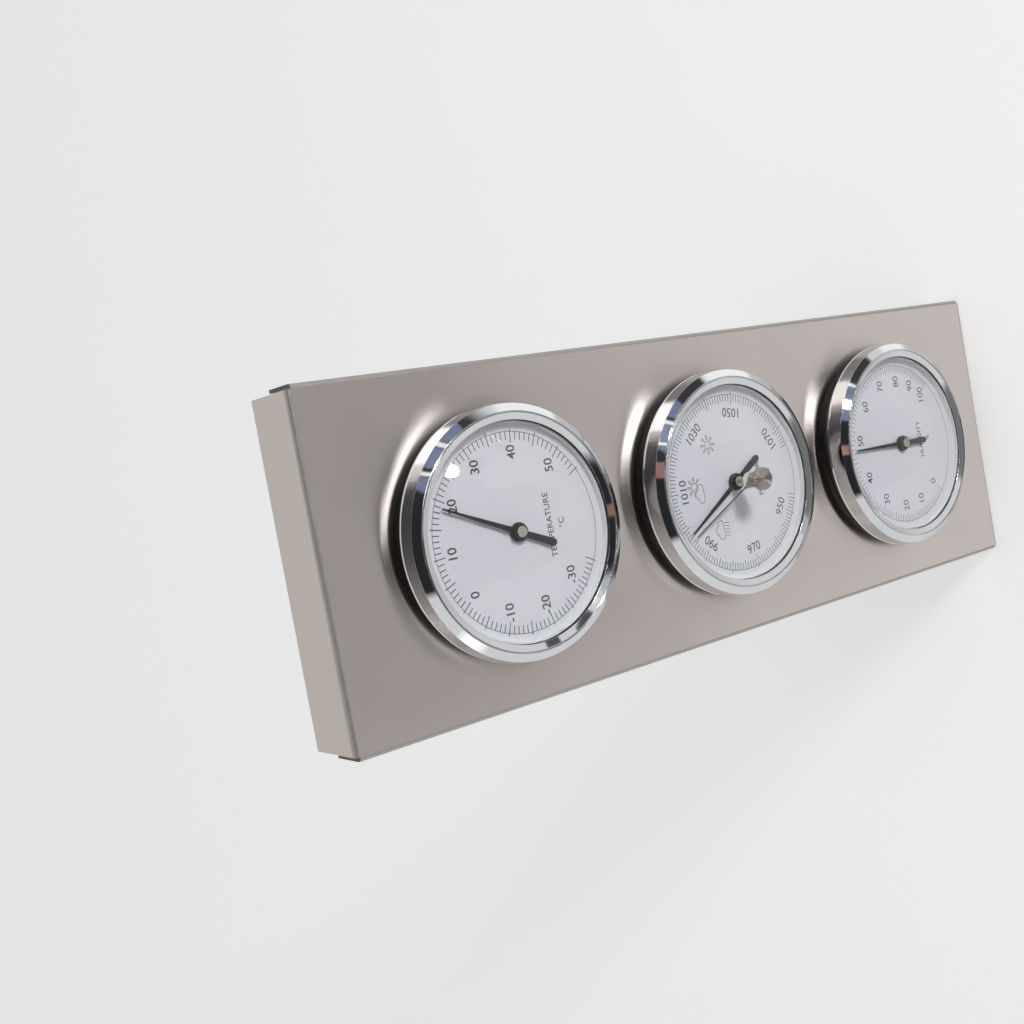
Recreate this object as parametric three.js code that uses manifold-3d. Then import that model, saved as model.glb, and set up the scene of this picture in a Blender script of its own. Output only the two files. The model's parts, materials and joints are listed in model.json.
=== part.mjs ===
// A wall weather station: thermometer, barometer and hygrometer in one folded steel tray.
// Sizes are millimetres. The station is built lying on its back, with x to the right, y up
// the dial faces and z towards the reader. The whole group is then stood upright, so that
// +Z is up and the dials face -Y. The origin is the seat of the wall hook in the keyhole.
import * as THREE from 'three';
import { mergeVertices } from 'three/addons/utils/BufferGeometryUtils.js';
import Module from 'manifold-3d';

const wasm = await Module();
wasm.setup();

// Tray, folded from one sheet
const TRAY_WIDTH = 100;
const TRAY_HEIGHT = 298;
const TRAY_DEPTH = 21;
const SIDE_FLANGE_DEPTH = 12.5;
const SHEET_THICKNESS = 1;
const BEND_INSIDE_RADIUS = 0.3;
const CORNER_GAP = 0.2;

// Hanger plate and its keyhole
const HOOK_DROP = 12;
const HOOK_SHANK_RADIUS = 2.25;
const HOOK_HEAD_RADIUS = 4.5;
const KEYHOLE_TRAVEL = 8;
const HANGER_WIDTH = 36;
const HANGER_THICKNESS = 1.2;
const HANGER_WELD_DEPTH = 12;
const HANGER_MARGIN = 6;

// Case, the same for the three instruments
const DIAL_PITCH = 89.3;
const BARREL_RADIUS = 31.2;
const BARREL_DEPTH = 17.5;
const BARREL_CLEARANCE = 0.4;
const CASE_WALL = 1.3;
const CASE_FLOOR = 1.5;
const FLANGE_WIDTH = 3.4;
const FLANGE_HEIGHT = 2.9;
const RIM_HEIGHT = 2.3;
const VENT_COUNT = 4;
const VENT_RADIUS = 1.75;
const VENT_INSET = 7.9;
const CLAMP_WIDTH = 4.4;
const CLAMP_HEIGHT = 3;

// Bezel, dial, spacer and lens
const BEZEL_OVERHANG = 5.2;
const BEZEL_WALL = 0.9;
const BEZEL_FIT = 0.3;
const BEZEL_BASE_GAP = 0.1;
const BEZEL_BASE_ROUND = 0.35;
const BEVEL_WIDTH = 2.6;
const BEVEL_RISE = 1.6;
const CREST_RISE = 1.2;
const LIP_WIDTH = 2.2;
const LIP_EDGE = 0.4;
const DIAL_THICKNESS = 0.5;
const DIAL_HOLE_RADIUS = 1.5;
const SPACER_HEIGHT = 1.7;
const SPACER_LEDGE = 0.7;
const LENS_THICKNESS = 1.5;
const LENS_RISE = 5.1;
const LENS_LAP = 1.3;
const LENS_EDGE_GAP = 0.3;

// Pointers and their arbors
const POINTER_LENGTH = 26.2;
const POINTER_TAIL = 12.4;
const POINTER_LIFT = 0.9;
const POINTER_THICKNESS = 0.5;
const NEEDLE_ROOT_WIDTH = 1.6;
const NEEDLE_TIP_WIDTH = 0.4;
const TAIL_WIDTH = 2;
const HUB_RADIUS = 2.75;
const HUB_SHOULDER_RADIUS = 2.3;
const HUB_DIAL_GAP = 0.4;
const HUB_SHOULDER_HEIGHT = 0.8;
const ARBOR_RADIUS = 0.8;
const ARBOR_HEAD_RADIUS = 1.6;
const ARBOR_HEAD_HEIGHT = 0.5;
const BEARING_CLEARANCE = 0.1;
const SEAT_GAP = 0.3;

// Where each pointer rests, clockwise from straight up, in degrees
const THERMOMETER_REST = 24;
const BAROMETER_REST = -30;
const HYGROMETER_REST = 2;

// Coil movements of the thermometer and the hygrometer
const BRIDGE_SPAN = 38;
const BRIDGE_WIDTH = 8;
const BRIDGE_THICKNESS = 1.2;
const BRIDGE_FOOT = 5;
const BRIDGE_DIAL_GAP = 1.4;
const ADJUSTER_RADIUS = 3.6;
const ADJUSTER_FIT = 0.2;
const ADJUSTER_FLANGE_RADIUS = 6;
const ADJUSTER_FLANGE_HEIGHT = 1.2;
const ADJUSTER_BOSS_RADIUS = 2.4;
const ADJUSTER_BOSS_HEIGHT = 2.3;
const ADJUSTER_SLOT_WIDTH = 1;
const ADJUSTER_SLOT_DEPTH = 0.8;
const ADJUSTER_ARM_WIDTH = 4;
const COIL_POST_CIRCLE = 11.6;
const COIL_POST_RADIUS = 1;
const COIL_POST_HEIGHT = 11;
const COLLET_RADIUS = 1.8;
const COIL_COLLET_GAP = 0.35;
const THERMOMETER_COIL = { turns: 3.5, thickness: 0.6, width: 6 };
const HYGROMETER_COIL = { turns: 2.5, thickness: 0.9, width: 4.5 };

// Barometer movement
const PLATE_CASE_GAP = 1.9;
const BASE_PLATE_THICKNESS = 1.2;
const BASE_PLATE_HOLE_RADIUS = 3.4;
const TOP_PLATE_THICKNESS = 1;
const TOP_PLATE_DIAL_GAP = 1.6;
const PILLAR_RADIUS = 1.5;
const PILLAR_EDGE = 2.5;
const PILLAR_ANGLES = [110, 200, 290];
const CAPSULE_RADIUS = 16.5;
const CAPSULE_THICKNESS = 4.8;
const CAPSULE_FOOT_RADIUS = 5;
const CAPSULE_FOOT_HEIGHT = 0.8;
const CAPSULE_RIPPLE = 0.6;
const CAPSULE_WELL_DEPTH = 2.4;
const CAPSULE_POST_RADIUS = 2.5;
const CAPSULE_POST_FIT = 0.4;
const CAPSULE_POST_HEIGHT = 2.3;
const CAPSULE_POST_TRAVEL = 1.3;
const ROCKER_OFFSET = 5;
const ROCKER_RADIUS = 1;
const CRANK_RADIUS = 0.6;
const CRANK_GAP = 0.55;
const FINGER_RADIUS = 0.55;
const FINGER_PIN_GAP = 0.45;
const BRACKET_THICKNESS = 1.2;
const BRACKET_WIDTH = 6;
const BRACKET_CAPSULE_GAP = 1.5;
const BRACKET_HEAD = 1.8;
const ROCKER_END = 1;
const GEAR_MODULE = 1;
const PINION_TEETH = 8;
const SECTOR_FULL_TEETH = 40;
const SECTOR_TEETH = 10;
const TOOTH_BACKLASH = 0.5;
const TOOTH_ADDENDUM = 0.8;
const TOOTH_DEDENDUM = 1.1;
const TOOTH_FLANK_SLOPE = 0.364;
const PINION_HEIGHT = 1.8;
const SECTOR_THICKNESS = 1;
const SECTOR_HUB_RADIUS = 3.3;
const SECTOR_PIN_RADIUS = 0.9;
const SECTOR_TOP_GAP = 0.7;
const TAIL_PIN_CIRCLE = 2.2;
const TAIL_PIN_RADIUS = 0.5;
const TAIL_PIN_LENGTH = 1.8;
const FINGER_TOP_GAP = 0.6;
const ARBOR_BRIDGE_SPAN = 20;
const ARBOR_BRIDGE_WIDTH = 4;
const ARBOR_BRIDGE_SHIFT = -1;
const ARBOR_BRIDGE_ROCKER_GAP = 0.65;
const HAIRSPRING = { turns: 3, thickness: 0.4, width: 0.8 };
const HAIRSPRING_LIFT = 0.8;
const HAIRSPRING_STUD_CIRCLE = 7.8;
const HAIRSPRING_STUD_RADIUS = 0.8;
const SCREW_HEAD_RADIUS = 3;
const SCREW_SHANK_RADIUS = 1.5;
const SCREW_SHANK_LENGTH = 2.8;
const SCREW_FIT = 0.3;

// Set hand and its knob
const KNOB_RADIUS = 3.7;
const KNOB_HEAD_HEIGHT = 1.8;
const KNOB_DISH = 0.5;
const KNOB_NECK_RADIUS = 2.4;
const KNOB_NECK_HEIGHT = 3.3;
const KNOB_SHAFT_RADIUS = 1.2;
const KNOB_RIVET_RADIUS = 1.7;
const KNOB_RIVET_HEIGHT = 0.4;
const KNOB_LENS_GAP = 0.25;
const WASHER_RADIUS = 2.6;
const WASHER_THICKNESS = 0.4;
const SET_HAND_BOSS_RADIUS = 2;
const SET_HAND_BOSS_HEIGHT = 0.7;
const SET_HAND_WIDTH = 0.5;
const SET_HAND_THICKNESS = 0.35;
const SET_HAND_OFFSET = 1.2;
const SET_HAND_POINTER_GAP = 0.4;
const SET_HAND_REST = -30;

// Facets round a circle: large shells, middling pieces and small shafts
const SHELL_FACETS = 48;
const RING_FACETS = 36;
const SMALL_FACETS = 20;
const SHAFT_FACETS = 12;
const BEND_FACETS = 5;
const DOME_STEPS = 4;
const COIL_STEPS_PER_TURN = 16;

// Finishes
const SATIN_STEEL = { color: 0xa79f98, roughness: 0.35, metalness: 1 };
const BRIGHT_STEEL = { color: 0xc4c4c2, roughness: 0.25, metalness: 1 };
const CHROME = { color: 0xe2e2e2, roughness: 0.05, metalness: 1 };
const BRASS = { color: 0xb08d4f, roughness: 0.3, metalness: 1 };
const KNOB_NICKEL = { color: 0xa09a90, roughness: 0.25, metalness: 1 };
const BLACK_PLASTIC = { color: 0x121212, roughness: 0.5, metalness: 0 };
const BLACK_LACQUER = { color: 0x1a1a1a, roughness: 0.4, metalness: 0 };
const WHITE_CARD = { color: 0xd6d6de, roughness: 0.6, metalness: 0 };
const WHITE_PLASTIC = { color: 0xdcdce0, roughness: 0.4, metalness: 0 };
const COIL_STRIP = { color: 0x9a9488, roughness: 0.4, metalness: 1 };
const CLEAR_GLASS = { color: 0xffffff, roughness: 0.02, metalness: 0, transparent: true, opacity: 0.2 };

// Heights above the tray's front face, worked out from the stack of pieces
const floorZ = CASE_FLOOR - BARREL_DEPTH;
const boreRadius = BARREL_RADIUS - CASE_WALL;
const flangeRadius = BARREL_RADIUS + FLANGE_WIDTH;
const bezelRadius = BARREL_RADIUS + BEZEL_OVERHANG;
const plateRadius = boreRadius - PLATE_CASE_GAP;
const dialSeatZ = FLANGE_HEIGHT + RIM_HEIGHT;
const dialFaceZ = dialSeatZ + DIAL_THICKNESS;
const lensSeatZ = dialFaceZ + SPACER_HEIGHT;
const lensRimZ = lensSeatZ + LENS_THICKNESS;
const lensApexZ = lensRimZ + LENS_RISE;
const openingRadius = bezelRadius - BEVEL_WIDTH - LIP_WIDTH;
const lensRimRadius = openingRadius + LENS_LAP;
const needleZ = dialFaceZ + POINTER_LIFT;
const needleTopZ = needleZ + POINTER_THICKNESS;
const hubTopZ = needleTopZ + HUB_SHOULDER_HEIGHT;
const arborTopZ = hubTopZ + ARBOR_HEAD_HEIGHT;

// Closed geometry to a solid that can be joined and cut, and back again
function solid(geometry) {
  geometry.deleteAttribute('normal');
  geometry.deleteAttribute('uv');
  const merged = mergeVertices(geometry, 1e-4);
  const corners = merged.index.array;
  const kept = [];
  for (let i = 0; i < corners.length; i += 3) {
    const [a, b, c] = [corners[i], corners[i + 1], corners[i + 2]];
    if (a !== b && b !== c && c !== a) kept.push(a, b, c);
  }
  const mesh = new wasm.Mesh({
    numProp: 3,
    vertProperties: merged.attributes.position.array,
    triVerts: new Uint32Array(kept),
  });
  return new wasm.Manifold(mesh);
}

function surface(body) {
  const mesh = body.getMesh();
  const geometry = new THREE.BufferGeometry();
  geometry.setAttribute('position', new THREE.BufferAttribute(mesh.vertProperties, mesh.numProp));
  geometry.setIndex(new THREE.BufferAttribute(mesh.triVerts, 1));
  const flat = geometry.toNonIndexed();
  flat.computeVertexNormals();
  return flat;
}

// One named piece of the station
function addPiece(parent, name, body, finish) {
  const mesh = new THREE.Mesh(surface(body), new THREE.MeshStandardMaterial(finish));
  mesh.name = name;
  parent.add(mesh);
  return mesh;
}

// A turned solid about the z axis. The profile runs up its outside and down its inside.
function turned(profile, facets) {
  const points = profile.map(([radius, z]) => new THREE.Vector2(radius, z));
  const closed = profile[0][0] > 0 || profile[profile.length - 1][0] > 0;
  if (closed) points.push(points[0].clone());
  return solid(new THREE.LatheGeometry(points, facets).rotateX(Math.PI / 2));
}

// A round bar along z, standing at a point of the plan
function rod(x, y, radius, z0, z1, facets = SHAFT_FACETS) {
  const bar = new THREE.CylinderGeometry(radius, radius, z1 - z0, facets);
  return solid(bar.rotateX(Math.PI / 2).translate(x, y, (z0 + z1) / 2));
}

// A round bar along x
function crossRod(x0, x1, y, z, radius) {
  const bar = new THREE.CylinderGeometry(radius, radius, x1 - x0, SHAFT_FACETS);
  return solid(bar.rotateZ(Math.PI / 2).translate((x0 + x1) / 2, y, z));
}

function block(x0, x1, y0, y1, z0, z1) {
  const box = new THREE.BoxGeometry(x1 - x0, y1 - y0, z1 - z0);
  return solid(box.translate((x0 + x1) / 2, (y0 + y1) / 2, (z0 + z1) / 2));
}

// A flat outline in plan, given thickness
function plate(shape, z0, z1, curveSegments = BEND_FACETS) {
  const settings = { depth: z1 - z0, bevelEnabled: false, curveSegments };
  return solid(new THREE.ExtrudeGeometry(shape, settings).translate(0, 0, z0));
}

// An outline drawn in x and z, given width along y about the middle
function profileAlongY(shape, width) {
  const settings = { depth: width, bevelEnabled: false, curveSegments: BEND_FACETS };
  const geometry = new THREE.ExtrudeGeometry(shape, settings);
  return solid(geometry.rotateX(Math.PI / 2).translate(0, width / 2, 0));
}

function outline(points) {
  return new THREE.Shape(points.map(([x, y]) => new THREE.Vector2(x, y)));
}

function polar(radius, degrees) {
  const angle = THREE.MathUtils.degToRad(degrees);
  return [radius * Math.cos(angle), radius * Math.sin(angle)];
}

// Turn a solid clockwise about a point of the plan, as the reader sees it
function turnClockwise(body, degrees, x = 0, y = 0) {
  return body.translate([-x, -y, 0]).rotate([0, 0, -degrees]).translate([x, y, 0]);
}

// The tray: two channel sections folded from the same sheet and crossing at the front
function channel(width, depth) {
  const outside = SHEET_THICKNESS + BEND_INSIDE_RADIUS;
  const half = width / 2;
  const inner = half - SHEET_THICKNESS;
  const bendX = half - outside;
  const bendZ = -outside;
  const shape = new THREE.Shape();
  shape.moveTo(half, -depth);
  shape.lineTo(half, bendZ);
  shape.absarc(bendX, bendZ, outside, 0, Math.PI / 2, false);
  shape.lineTo(-bendX, 0);
  shape.absarc(-bendX, bendZ, outside, Math.PI / 2, Math.PI, false);
  shape.lineTo(-half, -depth);
  shape.lineTo(-inner, -depth);
  shape.lineTo(-inner, bendZ);
  shape.absarc(-bendX, bendZ, BEND_INSIDE_RADIUS, Math.PI, Math.PI / 2, true);
  shape.lineTo(bendX, -SHEET_THICKNESS);
  shape.absarc(bendX, bendZ, BEND_INSIDE_RADIUS, Math.PI / 2, 0, true);
  shape.lineTo(inner, -depth);
  return shape;
}

function makeTray() {
  const relief = SHEET_THICKNESS + BEND_INSIDE_RADIUS + CORNER_GAP;
  const sides = profileAlongY(channel(TRAY_WIDTH, SIDE_FLANGE_DEPTH), TRAY_HEIGHT - 2 * relief);
  const ends = profileAlongY(channel(TRAY_HEIGHT, TRAY_DEPTH), TRAY_WIDTH - 2 * relief);
  let tray = sides.add(ends.rotate([0, 0, 90]));
  const holeRadius = BARREL_RADIUS + BARREL_CLEARANCE;
  for (const y of [DIAL_PITCH, 0, -DIAL_PITCH]) {
    tray = tray.subtract(rod(0, y, holeRadius, -2 * SHEET_THICKNESS, SHEET_THICKNESS, RING_FACETS));
  }
  return tray;
}

// The hanger plate: a strip bent to an L and welded inside the top flange. Its keyhole
// takes the head of a wall hook, whose shank then rises to the seat at the origin.
function makeHanger() {
  const top = HOOK_DROP - SHEET_THICKNESS;
  const bottom = -KEYHOLE_TRAVEL - HOOK_HEAD_RADIUS - HANGER_MARGIN;
  const half = HANGER_WIDTH / 2;
  const back = block(-half, half, bottom, top, 0, HANGER_THICKNESS);
  const weld = block(-half, half, top - HANGER_THICKNESS, top, 0, HANGER_WELD_DEPTH);
  const through = 2 * HANGER_THICKNESS;
  const seatY = -HOOK_SHANK_RADIUS;
  const head = rod(0, seatY - KEYHOLE_TRAVEL, HOOK_HEAD_RADIUS, -through, through, SMALL_FACETS);
  const seat = rod(0, seatY, HOOK_SHANK_RADIUS, -through, through, SMALL_FACETS);
  const slot = block(-HOOK_SHANK_RADIUS, HOOK_SHANK_RADIUS, seatY - KEYHOLE_TRAVEL, seatY, -through, through);
  return back.add(weld).subtract(head).subtract(seat).subtract(slot);
}

// The moulded case: a barrel through the tray, a flange on its face and a rim for the bezel
function makeCase(rearHoleRadius, ventCount) {
  const rimRadius = bezelRadius - BEZEL_WALL - BEZEL_FIT;
  let shell = turned([
    [rearHoleRadius, -BARREL_DEPTH],
    [BARREL_RADIUS, -BARREL_DEPTH],
    [BARREL_RADIUS, 0],
    [flangeRadius, 0],
    [flangeRadius, FLANGE_HEIGHT],
    [rimRadius, FLANGE_HEIGHT],
    [rimRadius, dialSeatZ],
    [boreRadius, dialSeatZ],
    [boreRadius, floorZ],
    [rearHoleRadius, floorZ],
  ], RING_FACETS);
  for (let i = 0; i < ventCount; i += 1) {
    const [x, y] = polar(boreRadius - VENT_INSET, 30 + (i * 360) / ventCount);
    shell = shell.subtract(rod(x, y, VENT_RADIUS, -BARREL_DEPTH - 1, floorZ + 1, SHAFT_FACETS));
  }
  return shell;
}

// The clamp ring, pushed over the barrel against the back of the sheet
function makeClampRing() {
  const bore = BARREL_RADIUS + BARREL_CLEARANCE;
  const seat = -SHEET_THICKNESS;
  const edge = bore + CLAMP_WIDTH;
  return turned([
    [edge, seat - CLAMP_HEIGHT],
    [edge, seat],
    [bore, seat],
    [bore, seat - CLAMP_HEIGHT],
  ], RING_FACETS);
}

// The bezel: an upright wall, a bevel rising to a crest and a lip falling to the lens
function makeBezel() {
  const base = FLANGE_HEIGHT + BEZEL_BASE_GAP;
  const crestZ = lensRimZ + CREST_RISE;
  const ridgeZ = crestZ - BEVEL_RISE;
  const inside = bezelRadius - BEZEL_WALL;
  return turned([
    [bezelRadius - BEZEL_BASE_ROUND, base],
    [bezelRadius, base + BEZEL_BASE_ROUND],
    [bezelRadius, ridgeZ],
    [bezelRadius - BEVEL_WIDTH, crestZ],
    [openingRadius, lensRimZ + LIP_EDGE],
    [openingRadius, lensRimZ],
    [lensRimRadius + BEZEL_FIT, lensRimZ],
    [inside, ridgeZ - BEZEL_WALL],
    [inside, base],
  ], SHELL_FACETS);
}

function makeDial() {
  const disc = rod(0, 0, lensRimRadius, dialSeatZ, dialFaceZ, RING_FACETS);
  return disc.subtract(rod(0, 0, DIAL_HOLE_RADIUS, dialSeatZ - 1, dialFaceZ + 1));
}

function makeSpacer() {
  return turned([
    [lensRimRadius, dialFaceZ],
    [lensRimRadius, lensSeatZ],
    [openingRadius - SPACER_LEDGE, lensSeatZ],
    [openingRadius - SPACER_LEDGE, dialFaceZ],
  ], RING_FACETS);
}

// The lens: a dome of even thickness with a flat rim, and a hole where a knob goes through
function makeLens(holeRadius) {
  const domeRadius = openingRadius - LENS_EDGE_GAP;
  const outerSphere = (domeRadius ** 2 + LENS_RISE ** 2) / (2 * LENS_RISE);
  const innerSphere = outerSphere - LENS_THICKNESS;
  const centreZ = lensApexZ - outerSphere;
  const innerEdge = Math.sqrt(innerSphere ** 2 - (lensSeatZ - centreZ) ** 2);
  const onSphere = (sphere, radius) => [radius, centreZ + Math.sqrt(sphere ** 2 - radius ** 2)];
  const profile = [
    [lensRimRadius, lensSeatZ],
    [lensRimRadius, lensRimZ],
  ];
  for (let i = 0; i <= DOME_STEPS; i += 1) {
    const radius = domeRadius + ((holeRadius - domeRadius) * i) / DOME_STEPS;
    profile.push(onSphere(outerSphere, radius));
  }
  for (let i = DOME_STEPS; i >= 0; i -= 1) {
    const radius = innerEdge + ((holeRadius - innerEdge) * i) / DOME_STEPS;
    profile.push(onSphere(innerSphere, radius));
  }
  return turned(profile, RING_FACETS);
}

// A pointer: tapered needle, round-ended tail and a two-step hub, bored for the arbor
function makePointer(rest) {
  const tail = TAIL_WIDTH / 2;
  const shape = new THREE.Shape();
  shape.moveTo(NEEDLE_TIP_WIDTH / 2, POINTER_LENGTH);
  shape.lineTo(-NEEDLE_TIP_WIDTH / 2, POINTER_LENGTH);
  shape.lineTo(-NEEDLE_ROOT_WIDTH / 2, 0);
  shape.lineTo(-tail, tail - POINTER_TAIL);
  shape.absarc(0, tail - POINTER_TAIL, tail, Math.PI, 2 * Math.PI, false);
  shape.lineTo(NEEDLE_ROOT_WIDTH / 2, 0);
  const blade = plate(shape, needleZ, needleTopZ);
  const hub = turned([
    [0, dialFaceZ + HUB_DIAL_GAP],
    [HUB_RADIUS, dialFaceZ + HUB_DIAL_GAP],
    [HUB_RADIUS, needleTopZ],
    [HUB_SHOULDER_RADIUS, needleTopZ],
    [HUB_SHOULDER_RADIUS, hubTopZ],
    [0, hubTopZ],
  ], SMALL_FACETS);
  const bore = rod(0, 0, ARBOR_RADIUS + BEARING_CLEARANCE, dialFaceZ, hubTopZ + 1);
  return turnClockwise(blade.add(hub).subtract(bore), rest);
}

// A flat spiral of strip from the collet out to its post, closed by square ends
function makeSpiral(coil, innerRadius, outerRadius, z0) {
  const steps = coil.turns * COIL_STEPS_PER_TURN;
  const half = coil.thickness / 2;
  const edge = (side) => {
    const points = [];
    for (let i = 0; i <= steps; i += 1) {
      const radius = innerRadius + ((outerRadius - innerRadius) * i) / steps + side * half;
      points.push(polar(radius, (-360 * coil.turns * (steps - i)) / steps));
    }
    return points;
  };
  return plate(outline([...edge(1), ...edge(-1).reverse()]), z0, z0 + coil.width);
}

// A screwdriver slot across the rear face
function rearSlot(radius) {
  const half = ADJUSTER_SLOT_WIDTH / 2;
  const reach = radius + 1;
  return block(-reach, reach, -half, half, -BARREL_DEPTH - 1, -BARREL_DEPTH + ADJUSTER_SLOT_DEPTH);
}

// Pieces that all three instruments share
function addInstrument(station, name, y, options) {
  const group = new THREE.Group();
  group.position.set(0, y, TRAY_DEPTH);
  station.add(group);
  addPiece(group, `${name}_case`, makeCase(options.rearHoleRadius, options.ventCount), BLACK_PLASTIC);
  addPiece(group, `${name}_clamp_ring`, makeClampRing(), BLACK_PLASTIC);
  addPiece(group, `${name}_dial`, makeDial(), WHITE_CARD);
  addPiece(group, `${name}_spacer_ring`, makeSpacer(), WHITE_PLASTIC);
  addPiece(group, `${name}_lens`, makeLens(options.lensHoleRadius), CLEAR_GLASS);
  addPiece(group, `${name}_bezel`, makeBezel(), CHROME);
  addPiece(group, `${name}_pointer`, makePointer(options.rest), BLACK_LACQUER);
  return group;
}

// A movement that turns its pointer by a coil: arbor, bridge, rear adjuster, post and coil
function addCoilMovement(group, name, coil) {
  const adjusterTop = floorZ + ADJUSTER_FLANGE_HEIGHT;
  const bossTop = adjusterTop + ADJUSTER_BOSS_HEIGHT;
  const postTop = adjusterTop + COIL_POST_HEIGHT;
  const coilZ = (bossTop + postTop - coil.width) / 2;
  const bearing = ARBOR_RADIUS + BEARING_CLEARANCE;

  const bridgeTop = dialSeatZ - BRIDGE_DIAL_GAP;
  const bridgeUnder = bridgeTop - BRIDGE_THICKNESS;
  const legIn = BRIDGE_SPAN / 2 - BRIDGE_THICKNESS;
  const legOut = BRIDGE_SPAN / 2;
  const footOut = legOut + BRIDGE_FOOT;
  const footTop = floorZ + BRIDGE_THICKNESS;
  const rightHalf = [
    [legIn, bridgeUnder],
    [legIn, floorZ],
    [footOut, floorZ],
    [footOut, footTop],
    [legOut, footTop],
    [legOut, bridgeTop],
  ];
  const leftHalf = rightHalf.map(([x, z]) => [-x, z]).reverse();
  const bar = profileAlongY(outline([...rightHalf, ...leftHalf]), BRIDGE_WIDTH);
  const bridge = bar.subtract(rod(0, 0, bearing, bridgeUnder - 1, bridgeTop + 1));
  addPiece(group, `${name}_bridge`, bridge, BRASS);

  const arborFoot = adjusterTop + SEAT_GAP;
  const arbor = turned([
    [0, arborFoot],
    [ARBOR_RADIUS, arborFoot],
    [ARBOR_RADIUS, coilZ],
    [COLLET_RADIUS, coilZ],
    [COLLET_RADIUS, coilZ + coil.width],
    [ARBOR_RADIUS, coilZ + coil.width],
    [ARBOR_RADIUS, hubTopZ],
    [ARBOR_HEAD_RADIUS, hubTopZ],
    [ARBOR_HEAD_RADIUS, arborTopZ],
    [0, arborTopZ],
  ], SHAFT_FACETS);
  addPiece(group, `${name}_arbor`, arbor, BRIGHT_STEEL);

  const barrel = turned([
    [0, -BARREL_DEPTH],
    [ADJUSTER_RADIUS, -BARREL_DEPTH],
    [ADJUSTER_RADIUS, floorZ],
    [ADJUSTER_FLANGE_RADIUS, floorZ],
    [ADJUSTER_FLANGE_RADIUS, adjusterTop],
    [ADJUSTER_BOSS_RADIUS, adjusterTop],
    [ADJUSTER_BOSS_RADIUS, bossTop],
    [bearing, bossTop],
    [bearing, adjusterTop],
    [0, adjusterTop],
  ], SMALL_FACETS);
  const armHalf = ADJUSTER_ARM_WIDTH / 2;
  const armEnd = COIL_POST_CIRCLE + COIL_POST_RADIUS;
  const arm = block(ADJUSTER_BOSS_RADIUS, armEnd, -armHalf, armHalf, floorZ + SEAT_GAP, adjusterTop);
  addPiece(group, `${name}_adjuster`, barrel.add(arm).subtract(rearSlot(ADJUSTER_RADIUS)), BRASS);

  const post = rod(COIL_POST_CIRCLE, 0, COIL_POST_RADIUS, adjusterTop, postTop);
  addPiece(group, `${name}_coil_post`, post, BRASS);

  const half = coil.thickness / 2;
  const inner = COLLET_RADIUS + COIL_COLLET_GAP + half;
  const outer = COIL_POST_CIRCLE - COIL_POST_RADIUS - SEAT_GAP - half;
  addPiece(group, `${name}_coil`, makeSpiral(coil, inner, outer, coilZ), COIL_STRIP);
}

// Gear teeth as straight-sided wedges, from root to tip and back, about the plan's centre
function toothPoints(pitchRadius, middle) {
  const halfPitch = (Math.PI * GEAR_MODULE) / 4 - TOOTH_BACKLASH / 2;
  const halfTip = halfPitch - TOOTH_FLANK_SLOPE * TOOTH_ADDENDUM;
  const halfRoot = halfPitch + TOOTH_FLANK_SLOPE * TOOTH_DEDENDUM;
  const root = pitchRadius - TOOTH_DEDENDUM;
  const tip = pitchRadius + TOOTH_ADDENDUM;
  const rootAngle = THREE.MathUtils.radToDeg(halfRoot / root);
  const tipAngle = THREE.MathUtils.radToDeg(halfTip / tip);
  return [
    polar(root, middle - rootAngle),
    polar(tip, middle - tipAngle),
    polar(tip, middle + tipAngle),
    polar(root, middle + rootAngle),
  ];
}

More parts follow.
